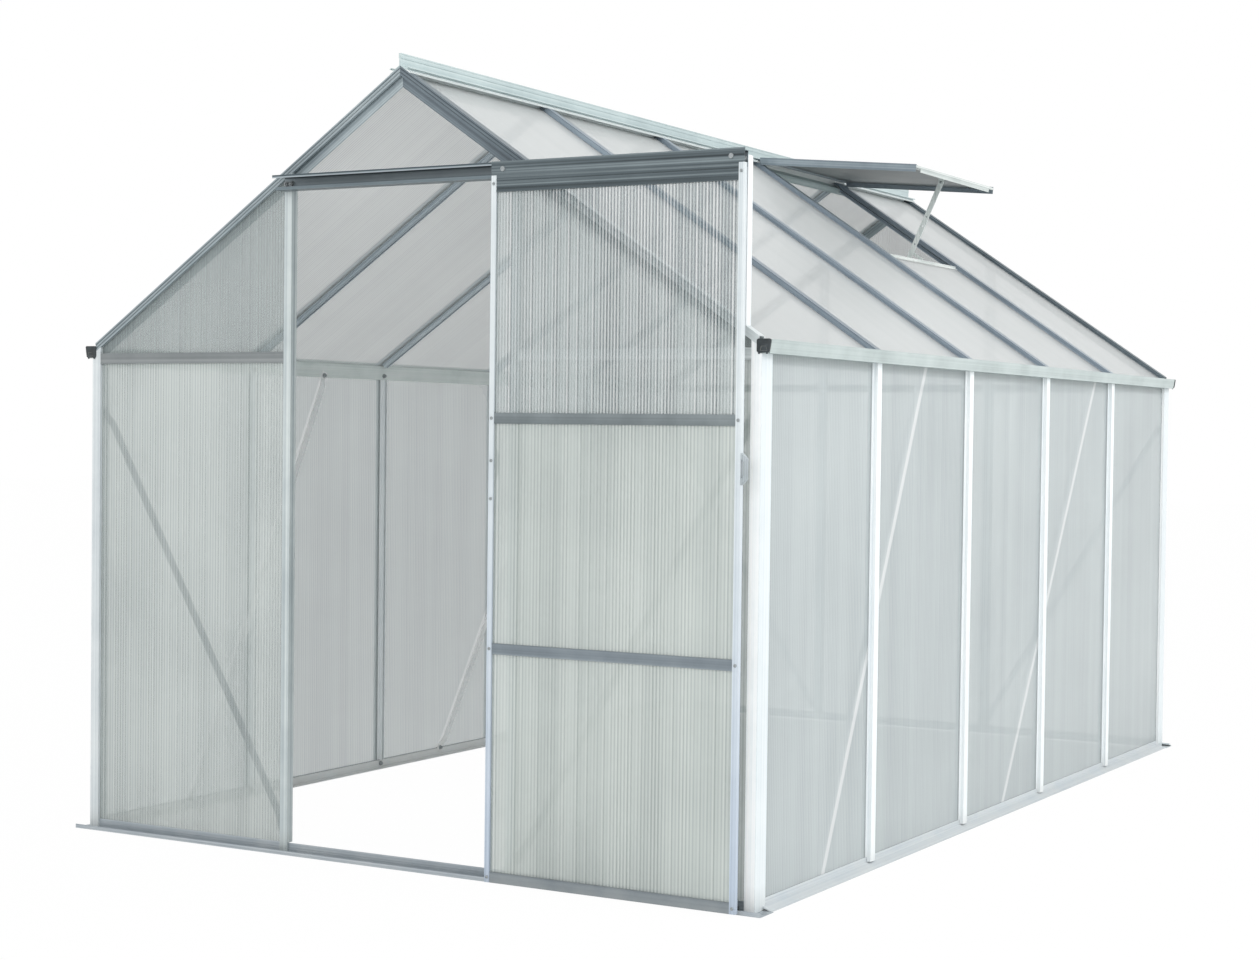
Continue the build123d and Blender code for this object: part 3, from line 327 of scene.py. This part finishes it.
def band(material, direction, middle, half, code, strength):
    tree, base, reach = reach_along(material, direction)
    gap = add(tree, "ShaderNodeMath", {0: reach, 1: middle}, operation="SUBTRACT")
    size = add(tree, "ShaderNodeMath", {0: gap.outputs["Value"]}, operation="ABSOLUTE")
    part = add(tree, "ShaderNodeMapRange", {"Value": size.outputs["Value"], "From Min": half,
                                            "From Max": 0.6 * half, "To Min": 0.0, "To Max": strength})
    mixed = add(tree, "ShaderNodeMix", {"Factor": part.outputs["Result"], "A": base.links[0].from_socket,
                                        "B": linear(code)}, data_type="RGBA")
    tree.links.new(mixed.outputs["Result"], base)


painted_light_rafter = extruded("painted_light_mill_aluminium_rafter", "#BFC9CC", "#9AA6AB", "#727E85",
                       "slope", 6.0, 0.36, 0.2, 0.7)
dress(["rafter_front_left", "rafter_rear_left"], painted_light_rafter)
dress(["rafter_rear_right", "apex_gussets"],
      extruded("painted_shade_mill_aluminium_rafter", "#828E95", "#5F6B72", "#3F4A50",
               "slope", 6.0, 0.36, 0.35, 0.7))
front_rafter = extruded("painted_light_and_shade_mill_aluminium_front_rafter", "#828E95", "#66727A", "#4C565C",
                        "slope", 6.0, 0.36, 0.2, 0.7)
dress(["rafter_front_right"], front_rafter)
# Painted shade: dark bands are drawn in the two grooves, where shade falls.
for metal, side in ((painted_light_rafter, -1), (front_rafter, 1)):
    slope_out = (side * sin(roof_pitch), 0, cos(roof_pitch))
    for height in (rib * 2 / 3, rib / 6):
        band(metal, slope_out, apex_z * cos(roof_pitch) + height, groove_half, "#343E43", 0.7)
# Painted light: the front right rafter is drawn pale below the track.
grade(front_rafter, (0, 0, 1), track_shade_z, track_light_z, "#E2E9EA", 0.85, "MIX")

# Ridge bar, roof bars and vent sill. The ridge is a tall finned extrusion with a round hinge
# groove along each side; the roof bars run down from it and end square over the gutter,
# and the bright sill closes the short sheet under the vent.
ridge_metal = extruded("mill_aluminium_ridge", "#CEDADA", "#BECDCE", "#ACBCBE", "Y", 6.0, 0.36, 0.15, 0.5)
# Painted light: the lower part of the ridge's foot, in shade under the crest, is drawn near white.
painted_light_foot_middle = 1.8480
painted_light_foot_half = 0.0065
band(ridge_metal, (0, 0, 1), painted_light_foot_middle, painted_light_foot_half, "#EEF2F2", 0.8)
dress(["ridge"], ridge_metal)
dress(["roof_bars_right"],
      extruded("mill_aluminium_roof_bar", "#A8B5BE", "#87949F", "#65717A",
               "slope", 8.0, 0.38, 0.25, 0.75))
# The left roof bars are a lighter copy of the same metal: painted light.
dress(["roof_bars_left"],
      extruded("painted_light_mill_aluminium_roof_bar", "#DDE4E8", "#BFCAD1", "#97A4AD",
               "slope", 8.0, 0.38, 0.1, 0.75))
dress(["vent_sill"],
      extruded("bright_mill_aluminium_vent_sill", "#F2F5F3", "#E3E8E6", "#C4CCCB", "Y", 4.0, 0.38, 0.3))

# Door posts, rear posts and cross bars. Channels that frame the doorway and the rear gable,
# with grooved bars at eaves height between them and the corner posts.
# The door posts are a darker copy of the posts' pale metal: painted shade on the front-facing posts.
dress(["door_post_left", "door_post_right"],
      extruded("painted_shade_mill_aluminium_door_post", "#DAE1E0", "#B9C3C5", "#949FA5", "Z", 5.0, 0.36, 0.3, 0.7))
dress(["rear_posts"],
      extruded("bright_mill_aluminium_rear_post", "#F6F8F9", "#E9EEF0", "#D3DBDF", "Z", 5.0, 0.36, 0.1, 0.7))
cross_bar = extruded("grooved_mill_aluminium_cross_bar", "#E3E8E9", "#CBD2D3", "#9CA4A7",
                     "X", 8.0, 0.38, 0.3, 0.75)
# Painted shade: the front cross bar left of the door is drawn darker.
grade(cross_bar, (-1, 0, 0), -0.1, 0.1, "#A9AAAB")
dress(["cross_bars_front"], cross_bar)
# The rear cross bars are a darker copy of the same metal: painted shade.
dress(["cross_bars_rear"],
      extruded("painted_shade_mill_aluminium_cross_bar", "#B4BABB", "#959B9C", "#757B7E", "X", 8.0, 0.38, 0.35, 0.75))

# Sheets. Extruded twin-wall polycarbonate, 4 mm thick: two skins joined by webs 5.7 mm apart,
# drawn half as far again apart so that they show, each a pale line beside a dark one. Light
# scatters between the skins, so the sheet is milky and what stands behind it shows faintly.
flute_mm = 8.55
streak_mm = 60.0
mist_mm = 400.0
roof_fall = 0.6726
sheet_behind, air_behind = 1.810, 1.900


def twin_wall(name, across, light, body, dark, alpha, contrast=0.3, open_air_shade=0.0, flute=flute_mm, haze=1.0):
    material, tree, shader, place = new_finish(name)
    pick = add(tree, "ShaderNodeSeparateXYZ", {"Vector": place})
    count = add(tree, "ShaderNodeMath", {0: pick.outputs[across], 1: 1000 / flute}, operation="MULTIPLY")
    cell = add(tree, "ShaderNodeMath", {0: count.outputs["Value"]}, operation="FLOOR")
    part = add(tree, "ShaderNodeMath", {0: count.outputs["Value"]}, operation="FRACT")
    lot = add(tree, "ShaderNodeTexWhiteNoise", {"W": cell.outputs["Value"]}, noise_dimensions="1D")
    line = add(tree, "ShaderNodeValToRGB", {"Fac": part.outputs["Value"]},
               stops=((0.0, "#BCBCBC"), (1.0, "#BCBCBC"), (0.22, "#FFFFFF"), (0.46, "#BCBCBC"),
                      (0.70, "#000000")))
    wave = add(tree, "ShaderNodeMath", {0: line.outputs["Color"], 1: 0.5}, operation="SUBTRACT")
    force = add(tree, "ShaderNodeMapRange", {"Value": lot.outputs["Value"], "To Min": 0.35 * contrast,
                                             "To Max": 1.65 * contrast})
    strength = force.outputs["Result"]
    stretch = {"X": (1000 / streak_mm, 0.4, 0.4), "Y": (0.4, 1000 / streak_mm, 0.4)}[across]
    wide = add(tree, "ShaderNodeMapping", {"Vector": place, "Scale": stretch})
    streak = add(tree, "ShaderNodeTexNoise", {"Vector": wide.outputs["Vector"], "Scale": 1.0, "Detail": 2.0})
    mist = add(tree, "ShaderNodeTexNoise", {"Vector": place, "Scale": 1000 / mist_mm, "Detail": 5.0})
    ground = add(tree, "ShaderNodeMix", {"Factor": 0.5, "A": streak.outputs["Fac"], "B": mist.outputs["Fac"]})
    even = add(tree, "ShaderNodeMapRange", {"Value": ground.outputs["Result"], "To Min": 0.5 - 0.5 * haze,
                                            "To Max": 0.5 + 0.5 * haze})
    level = even.outputs["Result"]
    # Painted shade: above the rafter line, where no sheet stands behind it, a clear pane is drawn darker and
    # with stronger webs; the mark is painted on the pane and moves with it.
    if open_air_shade:
        fall = add(tree, "ShaderNodeMath", {0: pick.outputs["X"], 1: roof_fall, 2: pick.outputs["Z"]},
                   operation="MULTIPLY_ADD")
        above = add(tree, "ShaderNodeMapRange", {"Value": fall.outputs["Value"], "From Min": sheet_behind,
                                                 "From Max": air_behind, "To Min": 0.0, "To Max": 1.0})
        more = add(tree, "ShaderNodeMath", {0: above.outputs["Result"], 1: 1.6, 2: 1.0},
                   operation="MULTIPLY_ADD")
        force = add(tree, "ShaderNodeMath", {0: strength, 1: more.outputs["Value"]}, operation="MULTIPLY")
        strength = force.outputs["Value"]
        drop = add(tree, "ShaderNodeMath", {0: above.outputs["Result"], 1: -open_air_shade, 2: level},
                   operation="MULTIPLY_ADD")
        level = drop.outputs["Value"]
    lined = add(tree, "ShaderNodeMath", {0: wave.outputs["Value"], 1: strength, 2: level},
                operation="MULTIPLY_ADD")
    tone = add(tree, "ShaderNodeValToRGB", {"Fac": lined.outputs["Value"]},
               stops=((0.15, dark), (0.85, light), (0.50, body)))
    tree.links.new(tone.outputs["Color"], shader.inputs["Base Color"])
    matt = add(tree, "ShaderNodeMapRange", {"Value": mist.outputs["Fac"], "To Min": 0.22, "To Max": 0.42})
    tree.links.new(matt.outputs["Result"], shader.inputs["Roughness"])
    bump = add(tree, "ShaderNodeBump", {"Height": wave.outputs["Value"], "Strength": 0.1, "Distance": 0.0006})
    tree.links.new(bump.outputs["Normal"], shader.inputs["Normal"])
    shader.inputs["IOR"].default_value = 1.58
    shader.inputs["Alpha"].default_value = alpha
    return material


# The two walls are one sheet drawn as lit and shaded copies, the right a little darker, and so are the two
# roof slopes: the right painted lighter and smoother, painted light, the left darker with stronger lines,
# painted shade.
left_wall = twin_wall("twin_wall_polycarbonate_left_wall", "Y", "#DAE2E2", "#C8D1D2", "#B2BBBD",
                      0.48, 0.32)
dress(["wall_sheets_left"], left_wall)
right_wall = twin_wall("twin_wall_polycarbonate_right_wall", "Y", "#D6DEDF", "#C4CDCF", "#AEB7BA",
                       0.55, 0.32)
dress(["wall_sheets_right"], right_wall)
dress(["roof_sheets_left"],
      twin_wall("twin_wall_polycarbonate_left_roof", "Y", "#E4E7E7", "#D4D9D9", "#C0C6C8", 0.49, 0.6))
dress(["roof_sheets_right"],
      twin_wall("twin_wall_polycarbonate_right_roof", "Y", "#E4E7E7", "#DBDFDF", "#D1D6D7", 0.55, 0.25))
gable = twin_wall("twin_wall_polycarbonate_gable", "X", "#E3EAE7", "#C9D1CF", "#9EA7A7", 0.41, 0.60)
# Painted shade: the gable sheets are drawn darker above the eaves.
eaves_low_z, eaves_high_z = 1.185, 1.197
grade(gable, (0, 0, 1), eaves_low_z, eaves_high_z, "#CACFD1")
dress(["gable_sheets_front", "gable_sheets_rear"], gable)

# Bracing straps. Flat rolled aluminium bar with set ends, bolted across the inside of the
# bars to stop the walls racking. The wall straps lie against the sheets, and pale lines of
# painted light are drawn on the wall sheets where they lie; the gable strap beside the door
# stands off its sheet and is painted dark, painted shade.
strap_runs = [((0.350, 0.014), (0.915, 1.188)), ((1.500, 0.014), (2.240, 1.188))]
strap_half = 0.010
dress(["wall_braces_left", "wall_braces_right"],
      extruded("bright_rolled_aluminium_strap", "#FDFEFE", "#F6F8F8", "#E2E8EA", "slope", 5.0, 0.42, 0.0))
strap = extruded("rolled_aluminium_gable_strap_with_painted_shade", "#F8FAFA", "#EEF2F3", "#D6DDE1", "slope", 5.0, 0.42, 0.0)
# Painted shade: the front gable strap left of the door is drawn dark.
grade(strap, (-1, -1, 0), 1.3, 1.6, "#78838F")
dress(["gable_braces"], strap)
# Painted light: pale lines are drawn on both wall sheets along the wall straps behind them.
for (foot, low), (head, high) in strap_runs:
    run = Vector((0.0, head - foot, high - low)).normalized()
    square = Vector((0.0, run.z, -run.y))
    for wall in (left_wall, right_wall):
        band(wall, square, square.dot(Vector((0.0, front_y + foot, low))), strap_half, "#FBFDFE", 0.75)

# Nuts and studs of the frame. Square-headed bolts slide in the bars' channels; inside the
# house only their washers, hex nuts and stud ends show. Bright zinc plate, slightly
# mottled, with a duller bloom in patches.
zinc, tree, shader, place = new_finish("zinc_plated_steel")
spangle_mm = 1.6
dulling_mm = 4.2
spangle = add(tree, "ShaderNodeTexVoronoi", {"Vector": place, "Scale": 1000 / spangle_mm})
bloom = add(tree, "ShaderNodeTexNoise", {"Vector": place, "Scale": 1000 / dulling_mm, "Detail": 3.0})
mixed = add(tree, "ShaderNodeMix", {"Factor": 0.5, "A": spangle.outputs["Distance"],
                                    "B": bloom.outputs["Fac"]})
tone = add(tree, "ShaderNodeValToRGB", {"Fac": mixed.outputs["Result"]},
           stops=((0.2, "#777D80"), (0.7, "#A9AFB1")))
tree.links.new(tone.outputs["Color"], shader.inputs["Base Color"])
matt = add(tree, "ShaderNodeMapRange", {"Value": bloom.outputs["Fac"], "To Min": 0.22, "To Max": 0.4})
tree.links.new(matt.outputs["Result"], shader.inputs["Roughness"])
shader.inputs["Metallic"].default_value = 0.3

nut_flats = 0.010
nut_rise = 0.005
washer_radius = 0.0068
washer_rise = 0.0012
stud_radius = 0.0029
stud_rise = 0.0030


def rod(vertices, radius, low, high):
    bpy.ops.object.select_all(action="DESELECT")
    bpy.ops.mesh.primitive_cylinder_add(vertices=vertices, radius=radius, depth=high - low,
                                        location=(0, 0, (low + high) / 2))
    bpy.ops.object.transform_apply(location=True, rotation=True, scale=True)
    return bpy.context.active_object


washer = rod(20, washer_radius, 0.0, washer_rise)
edit(washer, lambda f: f.normal.z > 0.9)
bpy.ops.mesh.bevel(offset=0.0004, segments=2)
leave_edit()
hexagon = rod(6, nut_flats / 2 / cos(pi / 6), washer_rise, washer_rise + nut_rise)
edit(hexagon, lambda f: abs(f.normal.z) > 0.9)
bpy.ops.mesh.bevel(offset=0.0006, segments=2)
leave_edit()
stud = rod(14, stud_radius, washer_rise, washer_rise + nut_rise + stud_rise)
edit(stud, lambda f: f.normal.z > 0.9)
bpy.ops.mesh.bevel(offset=0.0007, segments=2)
leave_edit()
nut = join([washer, hexagon, stud], "nut")
nut.data.materials.append(zinc)


def fit_copies(master, spots, name, body):
    made = []
    for i, (point, outward) in enumerate(spots):
        copy = master.copy()
        copy.data = master.data.copy()
        bpy.context.scene.collection.objects.link(copy)
        turn = Vector((0, 0, 1)).rotation_difference(Vector(outward).normalized()).to_matrix().to_4x4()
        own_turn = Matrix.Rotation(radians(23 * i), 4, "Z")
        copy.data.transform(Matrix.Translation(point) @ turn @ own_turn)
        made.append(copy)
    group = join(made, name)
    group.select_set(True)
    bpy.context.view_layer.objects.active = group
    bpy.ops.object.shade_smooth_by_angle(angle=radians(35))
    group.select_set(False)
    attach(group, body)
    return group


bar_depths = [0.6073, 1.1991, 1.7909, 2.3827]
bar_head_z, bar_foot_z = 1.1840, 0.0125
skirt_x = 0.9362
strap_x = 0.9339
strap_end = 0.012
gable_inset = 0.0161
gable_strap_low, gable_strap_high = (0.334, 0.045), (0.925, 1.065)
gusset_runs = (0.024, 0.056)
gusset_drop = 0.0137
spots = []
for side in (-1, 1):
    for d in bar_depths:
        spots.append(((side * skirt_x, front_y + d, bar_head_z), (-side, 0, 0)))
        spots.append(((side * skirt_x, front_y + d, bar_foot_z), (-side, 0, 0)))
    for (foot, low_z), (head, high_z) in strap_runs:
        low = Vector((side * strap_x, front_y + foot, low_z))
        high = Vector((side * strap_x, front_y + head, high_z))
        along = (high - low).normalized() * strap_end
        spots.append((low + along, (-side, 0, 0)))
        spots.append((high - along, (-side, 0, 0)))
for y, inward in ((front_y + gable_inset, 1), (rear_y - gable_inset, -1)):
    for side in (-1, 1):
        low = Vector((side * gable_strap_low[0], y, gable_strap_low[1]))
        high = Vector((side * gable_strap_high[0], y, gable_strap_high[1]))
        along = (high - low).normalized() * strap_end
        spots.append((low + along, (0, inward, 0)))
        spots.append((high - along, (0, inward, 0)))
        for run in gusset_runs:
            x = run * cos(roof_pitch) - gusset_drop * sin(roof_pitch)
            z = apex_z - run * sin(roof_pitch) - gusset_drop * cos(roof_pitch)
            spots.append(((side * x, y, z), (0, inward, 0)))
fit_copies(nut, spots, "frame_nuts", "house")

# Screws of the door and the vent. Pan-head screws with a cross recess, made once here and
# fitted where each frame is described below.
screw_radius = 0.0038
screw_rise = 0.0022
recess_half, recess_wall = 0.0022, 0.0004
recess_floor = 0.0012
recess_top = 0.0040
screw = rod(18, screw_radius, 0.0, screw_rise)
edit(screw, lambda f: f.normal.z > 0.9)
bpy.ops.mesh.bevel(offset=0.0014, segments=4)
leave_edit()
for wide, deep in ((recess_half, recess_wall), (recess_wall, recess_half)):
    slot_tool = block("recess", (-wide, -deep, recess_floor), (wide, deep, recess_top))
    cut = screw.modifiers.new("recess", "BOOLEAN")
    cut.object = slot_tool
    cut.operation = "DIFFERENCE"
    cut.solver = "EXACT"
    bpy.ops.object.select_all(action="DESELECT")
    screw.select_set(True)
    bpy.context.view_layer.objects.active = screw
    bpy.ops.object.modifier_apply(modifier="recess")
    bpy.data.objects.remove(slot_tool)
screw.data.materials.clear()
screw.data.materials.append(zinc)

# Door track. A channel bolted across the gable, its face in shade; the rollers run on the
# turned-up edge of its lower flange. Hex nuts hold it to the posts and the rafter.
track = extruded("grooved_aluminium_track", "#B0BBC0", "#939EA4", "#6C777D", "X", 9.0, 0.36, 0.3, 0.75)
web_low_z, lip_top_z = 1.6035, 1.6000
web_high_z, cap_edge_z = 1.6165, 1.6180
# Painted shade below the lower lip's top and on the top lip, leaving the face between them, which lies in the
# lip's shade, lighter: painted light.
grade(track, (0, 0, 1), web_low_z, lip_top_z, "#C6CCCE")
grade(track, (0, 0, 1), web_high_z, cap_edge_z, "#8A9498")
dress(["door_track"], track)
web_face_y = front_y - 0.0018
track_nut_z = 1.6045
track_nut_places = (-0.328, -0.312, 0.312, 0.328, 0.902)
spots = [((x, web_face_y, track_nut_z), (0, -1, 0)) for x in track_nut_places]
fit_copies(nut, spots, "track_nuts", "house")

# Sliding door. Two pale stiles, a ribbed hanger plate at the top, two middle rails and a
# bottom rail, screwed at the corners, hold three twin-wall panes; the top pane is the
# clearest and shows its webs most.
stile = extruded("mill_aluminium_stile", "#E8EDEE", "#D0D8DB", "#AEB8BF", "Z", 5.0, 0.36, 0.1, 0.75)
grade(stile, (0, 0, 1), 1.1, 0.0, "#D6DEEE")
dress(["door_stile_left", "door_stile_right"], stile)
# The upper rail is a darker copy of the lower rails' metal: painted shade.
dress(["door_rail_upper"],
      extruded("painted_shade_mill_aluminium_door_rail", "#8B9497", "#727B7E", "#5A6266", "X", 9.0, 0.38, 0.4))
dress(["door_rail_lower", "door_rail_bottom"],
      extruded("mill_aluminium_lower_door_rail", "#99A2A8", "#818B92", "#677179", "X", 9.0, 0.38, 0.4))
dress(["door_hanger"],
      extruded("ribbed_aluminium_hanger", "#828E92", "#525D62", "#2B3438", "X", 5.0, 0.36, 0.3, 0.9))
# The top pane carries painted shade above the rafter line.
dress(["door_pane_top"],
      twin_wall("twin_wall_polycarbonate_clear_pane", "X", "#FFFFFF", "#C9D3D3", "#3A4D55",
                alpha=0.38, contrast=0.62, open_air_shade=0.30, flute=8.0, haze=0.4))
dress(["door_pane_middle", "door_pane_bottom"],
      twin_wall("twin_wall_polycarbonate_pane", "X", "#EAF0EC", "#D1D9D6", "#A4ADAB", 0.46, 0.55))
dress(["door_pulls"],
      extruded("cast_aluminium_pull", "#D8DEDF", "#B2BBBF", "#858F94", "Z", 3.0, 0.42, 0.45))
door_face = front_y - 0.058
left_stile_x, right_stile_x = 0.3038, 0.9252
rail_heights = (0.0200, 0.5340, 1.0500, 1.5720)
handle_heights = (0.870, 0.955)
spots = []
for x in (left_stile_x, right_stile_x):
    for z in rail_heights:
        spots.append(((x, door_face, z), (0, -1, 0)))
for z in handle_heights:
    spots.append(((left_stile_x, door_face, z), (0, -1, 0)))
fit_copies(screw, spots, "door_screws", "door")

# Rollers, pins and bottom guides. Moulded nylon wheels turn on zinc-plated shoulder
# bolts, and the bent guides keep the door's foot behind the sill's lip.
# Nylon looks dark grey, matt and slightly mottled, with no gloss on its edges.
nylon, tree, shader, place = new_finish("moulded_grey_nylon")
mottle_mm = 11.1
bloom = add(tree, "ShaderNodeTexNoise", {"Vector": place, "Scale": 1000 / mottle_mm, "Detail": 4.0})
tone = add(tree, "ShaderNodeValToRGB", {"Fac": bloom.outputs["Fac"]},
           stops=((0.3, "#2A2D2F"), (0.7, "#45494B")))
tree.links.new(tone.outputs["Color"], shader.inputs["Base Color"])
matt = add(tree, "ShaderNodeMapRange", {"Value": bloom.outputs["Fac"], "To Min": 0.4, "To Max": 0.6})
tree.links.new(matt.outputs["Result"], shader.inputs["Roughness"])
dress(["roller_left", "roller_right", "door_guides"], nylon)
dress(["roller_pins", "stay_pin"], zinc)

# Roof vent. A small sash hinged by a bead in the ridge's groove, with one twin-wall
# sheet, screwed at its corners and held open by a flat stay that hangs on a peg.
sash_tilt = radians(5.0)
dress(["vent_hinge_rail", "vent_side_rails"],
      extruded("mill_aluminium_sash", "#AEBAC1", "#89959D", "#66717A",
               "slope", 6.0, 0.36, 0.3, 0.6, sash_tilt))
dress(["vent_end_rail"],
      extruded("bright_mill_aluminium_sash_end", "#F4F7F5", "#CDD5D3", "#8D9896", "Y", 5.0, 0.36, 0.2, 0.8))
dress(["stay", "stay_clevis", "stay_peg"],
      extruded("rolled_aluminium_stay", "#F2F5F4", "#DCE3E1", "#B9C3C1", "Z", 4.0, 0.4, 0.2))
vent_y = front_y + 2.0868
hinge_x, hinge_z = 0.0244386, 1.8547929


def on_sash(run, y, rise):
    x = hinge_x + run * cos(sash_tilt) + rise * sin(sash_tilt)
    return (x, vent_y + y, hinge_z - run * sin(sash_tilt) + rise * cos(sash_tilt))


sash_up = (sin(sash_tilt), 0, cos(sash_tilt))
lid = twin_wall("twin_wall_polycarbonate_vent", "Y", "#DCE1E1", "#D0D6D6", "#C2C8C9", 0.80, 0.25)
lid_middle = Vector(on_sash(0.0, 0.0, 0.0)).dot(Vector(sash_up))
lid_blend = 0.0005
# Painted shade: the sheet's underside is drawn dark grey, as the shade under the lid.
grade(lid, sash_up, lid_middle + lid_blend, lid_middle - lid_blend, "#697173")
dress(["vent_sheet"], lid)
sash_half = 0.300
sash_top = 0.0038
screw_runs = (0.516, 0.0120)
spots = []
for y in (-sash_half, sash_half):
    for run in screw_runs:
        spots.append((on_sash(run, y, sash_top), sash_up))
fit_copies(screw, spots, "vent_screws", "vent")
pin_run, pin_drop = 0.474, -0.015
pin_half = 0.0034
spots = [(on_sash(pin_run, y, pin_drop), (0, y, 0)) for y in (-pin_half, pin_half)]
fit_copies(screw, spots, "stay_pin_heads", "vent")
bpy.data.objects.remove(nut)
bpy.data.objects.remove(screw)

# Floor, backdrop and light. A pale studio floor, white all round except inside the house
# where it is seen through a sheet, a large soft light high on the right that whitens the
# right-hand faces, and a weaker one in front.
bpy.ops.mesh.primitive_plane_add(size=60.0, location=(0, 0, 0))
floor = bpy.context.active_object
floor.name = "studio_floor"
paper, tree, shader, place = new_finish("pale_studio_floor")
speck_mm = 250.0
speck = add(tree, "ShaderNodeTexNoise", {"Vector": place, "Scale": 1000 / speck_mm, "Detail": 3.0})
tone = add(tree, "ShaderNodeValToRGB", {"Fac": speck.outputs["Fac"]},
           stops=((0.3, "#F4F4F3"), (0.7, "#F8F8F7")))
tree.links.new(tone.outputs["Color"], shader.inputs["Base Color"])
shader.inputs["Roughness"].default_value = 0.9
white = add(tree, "ShaderNodeEmission", {"Color": (1, 1, 1, 1), "Strength": 1.0})
rays = add(tree, "ShaderNodeLightPath")
direct = add(tree, "ShaderNodeMath", {0: rays.outputs["Is Camera Ray"], 1: rays.outputs["Is Glossy Ray"]},
             operation="MAXIMUM")
near = add(tree, "ShaderNodeMath", {0: direct.outputs["Value"], 1: rays.outputs["Is Transmission Ray"]},
           operation="MAXIMUM")
pick = add(tree, "ShaderNodeSeparateXYZ", {"Vector": place})
room_half_x, room_half_y = 0.93, 1.46
across = add(tree, "ShaderNodeMath", {0: pick.outputs["X"], 1: 0.0, 2: room_half_x}, operation="COMPARE")
along = add(tree, "ShaderNodeMath", {0: pick.outputs["Y"], 1: 0.0, 2: room_half_y}, operation="COMPARE")
inside = add(tree, "ShaderNodeMath", {0: across.outputs["Value"], 1: along.outputs["Value"]},
             operation="MULTIPLY")
veiled = add(tree, "ShaderNodeMath", {0: rays.outputs["Transparent Depth"], 1: 0.5},
             operation="GREATER_THAN")
shaded = add(tree, "ShaderNodeMath", {0: inside.outputs["Value"], 1: veiled.outputs["Value"]},
             operation="MULTIPLY")
bare = add(tree, "ShaderNodeMath", {0: near.outputs["Value"], 1: shaded.outputs["Value"]},
           operation="SUBTRACT", use_clamp=True)
shadow_left = 0.015
seen = add(tree, "ShaderNodeMath", {0: bare.outputs["Value"], 1: 1 - shadow_left}, operation="MULTIPLY")
mixed = add(tree, "ShaderNodeMixShader", {0: seen.outputs["Value"], 1: shader.outputs["BSDF"],
                                          2: white.outputs["Emission"]})
out = [n for n in tree.nodes if n.type == "OUTPUT_MATERIAL"][0]
tree.links.new(mixed.outputs["Shader"], out.inputs["Surface"])
floor.data.materials.append(paper)

world = bpy.data.worlds.new("white_studio")
bpy.context.scene.world = world
world.use_nodes = True
tree = world.node_tree
tree.nodes.clear()
rays = add(tree, "ShaderNodeLightPath")
near = add(tree, "ShaderNodeMath", {0: rays.outputs["Is Camera Ray"], 1: rays.outputs["Is Glossy Ray"]},
           operation="MAXIMUM")
show = add(tree, "ShaderNodeMath", {0: near.outputs["Value"], 1: rays.outputs["Is Transmission Ray"]},
           operation="MAXIMUM")
dim = add(tree, "ShaderNodeBackground", {"Color": (1, 1, 1, 1), "Strength": 0.80})
full = add(tree, "ShaderNodeBackground", {"Color": (1, 1, 1, 1), "Strength": 1.0})
mixed = add(tree, "ShaderNodeMixShader", {0: show.outputs["Value"], 1: dim.outputs["Background"],
                                          2: full.outputs["Background"]})
add(tree, "ShaderNodeOutputWorld", {"Surface": mixed.outputs["Shader"]})


def soft_light(name, place, aim, size, power):
    lamp = bpy.data.lights.new(name, "AREA")
    lamp.shape = "DISK"
    lamp.size = size
    lamp.energy = power
    holder = bpy.data.objects.new(name, lamp)
    bpy.context.scene.collection.objects.link(holder)
    holder.location = place
    holder.rotation_euler = (Vector(aim) - Vector(place)).to_track_quat("-Z", "Y").to_euler()


soft_light("key_right", place=(6.5, 0.5, 5.0), aim=(0.5, 0.0, 1.0), size=4.0, power=215.0)
soft_light("fill_front", place=(2.0, -7.2, 3.0), aim=(0.0, -1.0, 1.0), size=4.0, power=128.0)

# Camera, at the photograph's place: right of the door and about a metre above the ground,
# with a long lens, turned left along the house and rolled by less than a degree.
yaw, pitch, roll = radians(28.628), radians(-1.499), radians(0.740)
image_width, image_height = 1259, 960
focal_px = 2165.23
middle_x, middle_y = 694.92, 492.12
stand = (3.0231, -5.5622, 1.0171)
ahead = Vector((-sin(yaw) * cos(pitch), cos(yaw) * cos(pitch), sin(pitch)))
right = Vector((cos(yaw), sin(yaw), 0.0))
up = right.cross(ahead)
side = right * cos(roll) + up * sin(roll)
top = up * cos(roll) - right * sin(roll)
lens = bpy.data.cameras.new("photo_view")
lens.sensor_width = 36.0
lens.sensor_fit = "HORIZONTAL"
lens.lens = lens.sensor_width * focal_px / image_width
lens.shift_x = -(middle_x - image_width / 2) / image_width
lens.shift_y = (middle_y - image_height / 2) / image_width
lens.clip_end = 100.0
camera = bpy.data.objects.new("photo_view", lens)
bpy.context.scene.collection.objects.link(camera)
camera.matrix_world = Matrix((side, top, -ahead)).transposed().to_4x4()
camera.location = Vector(stand)
bpy.context.scene.camera = camera
bpy.context.scene.view_settings.view_transform = "Standard"
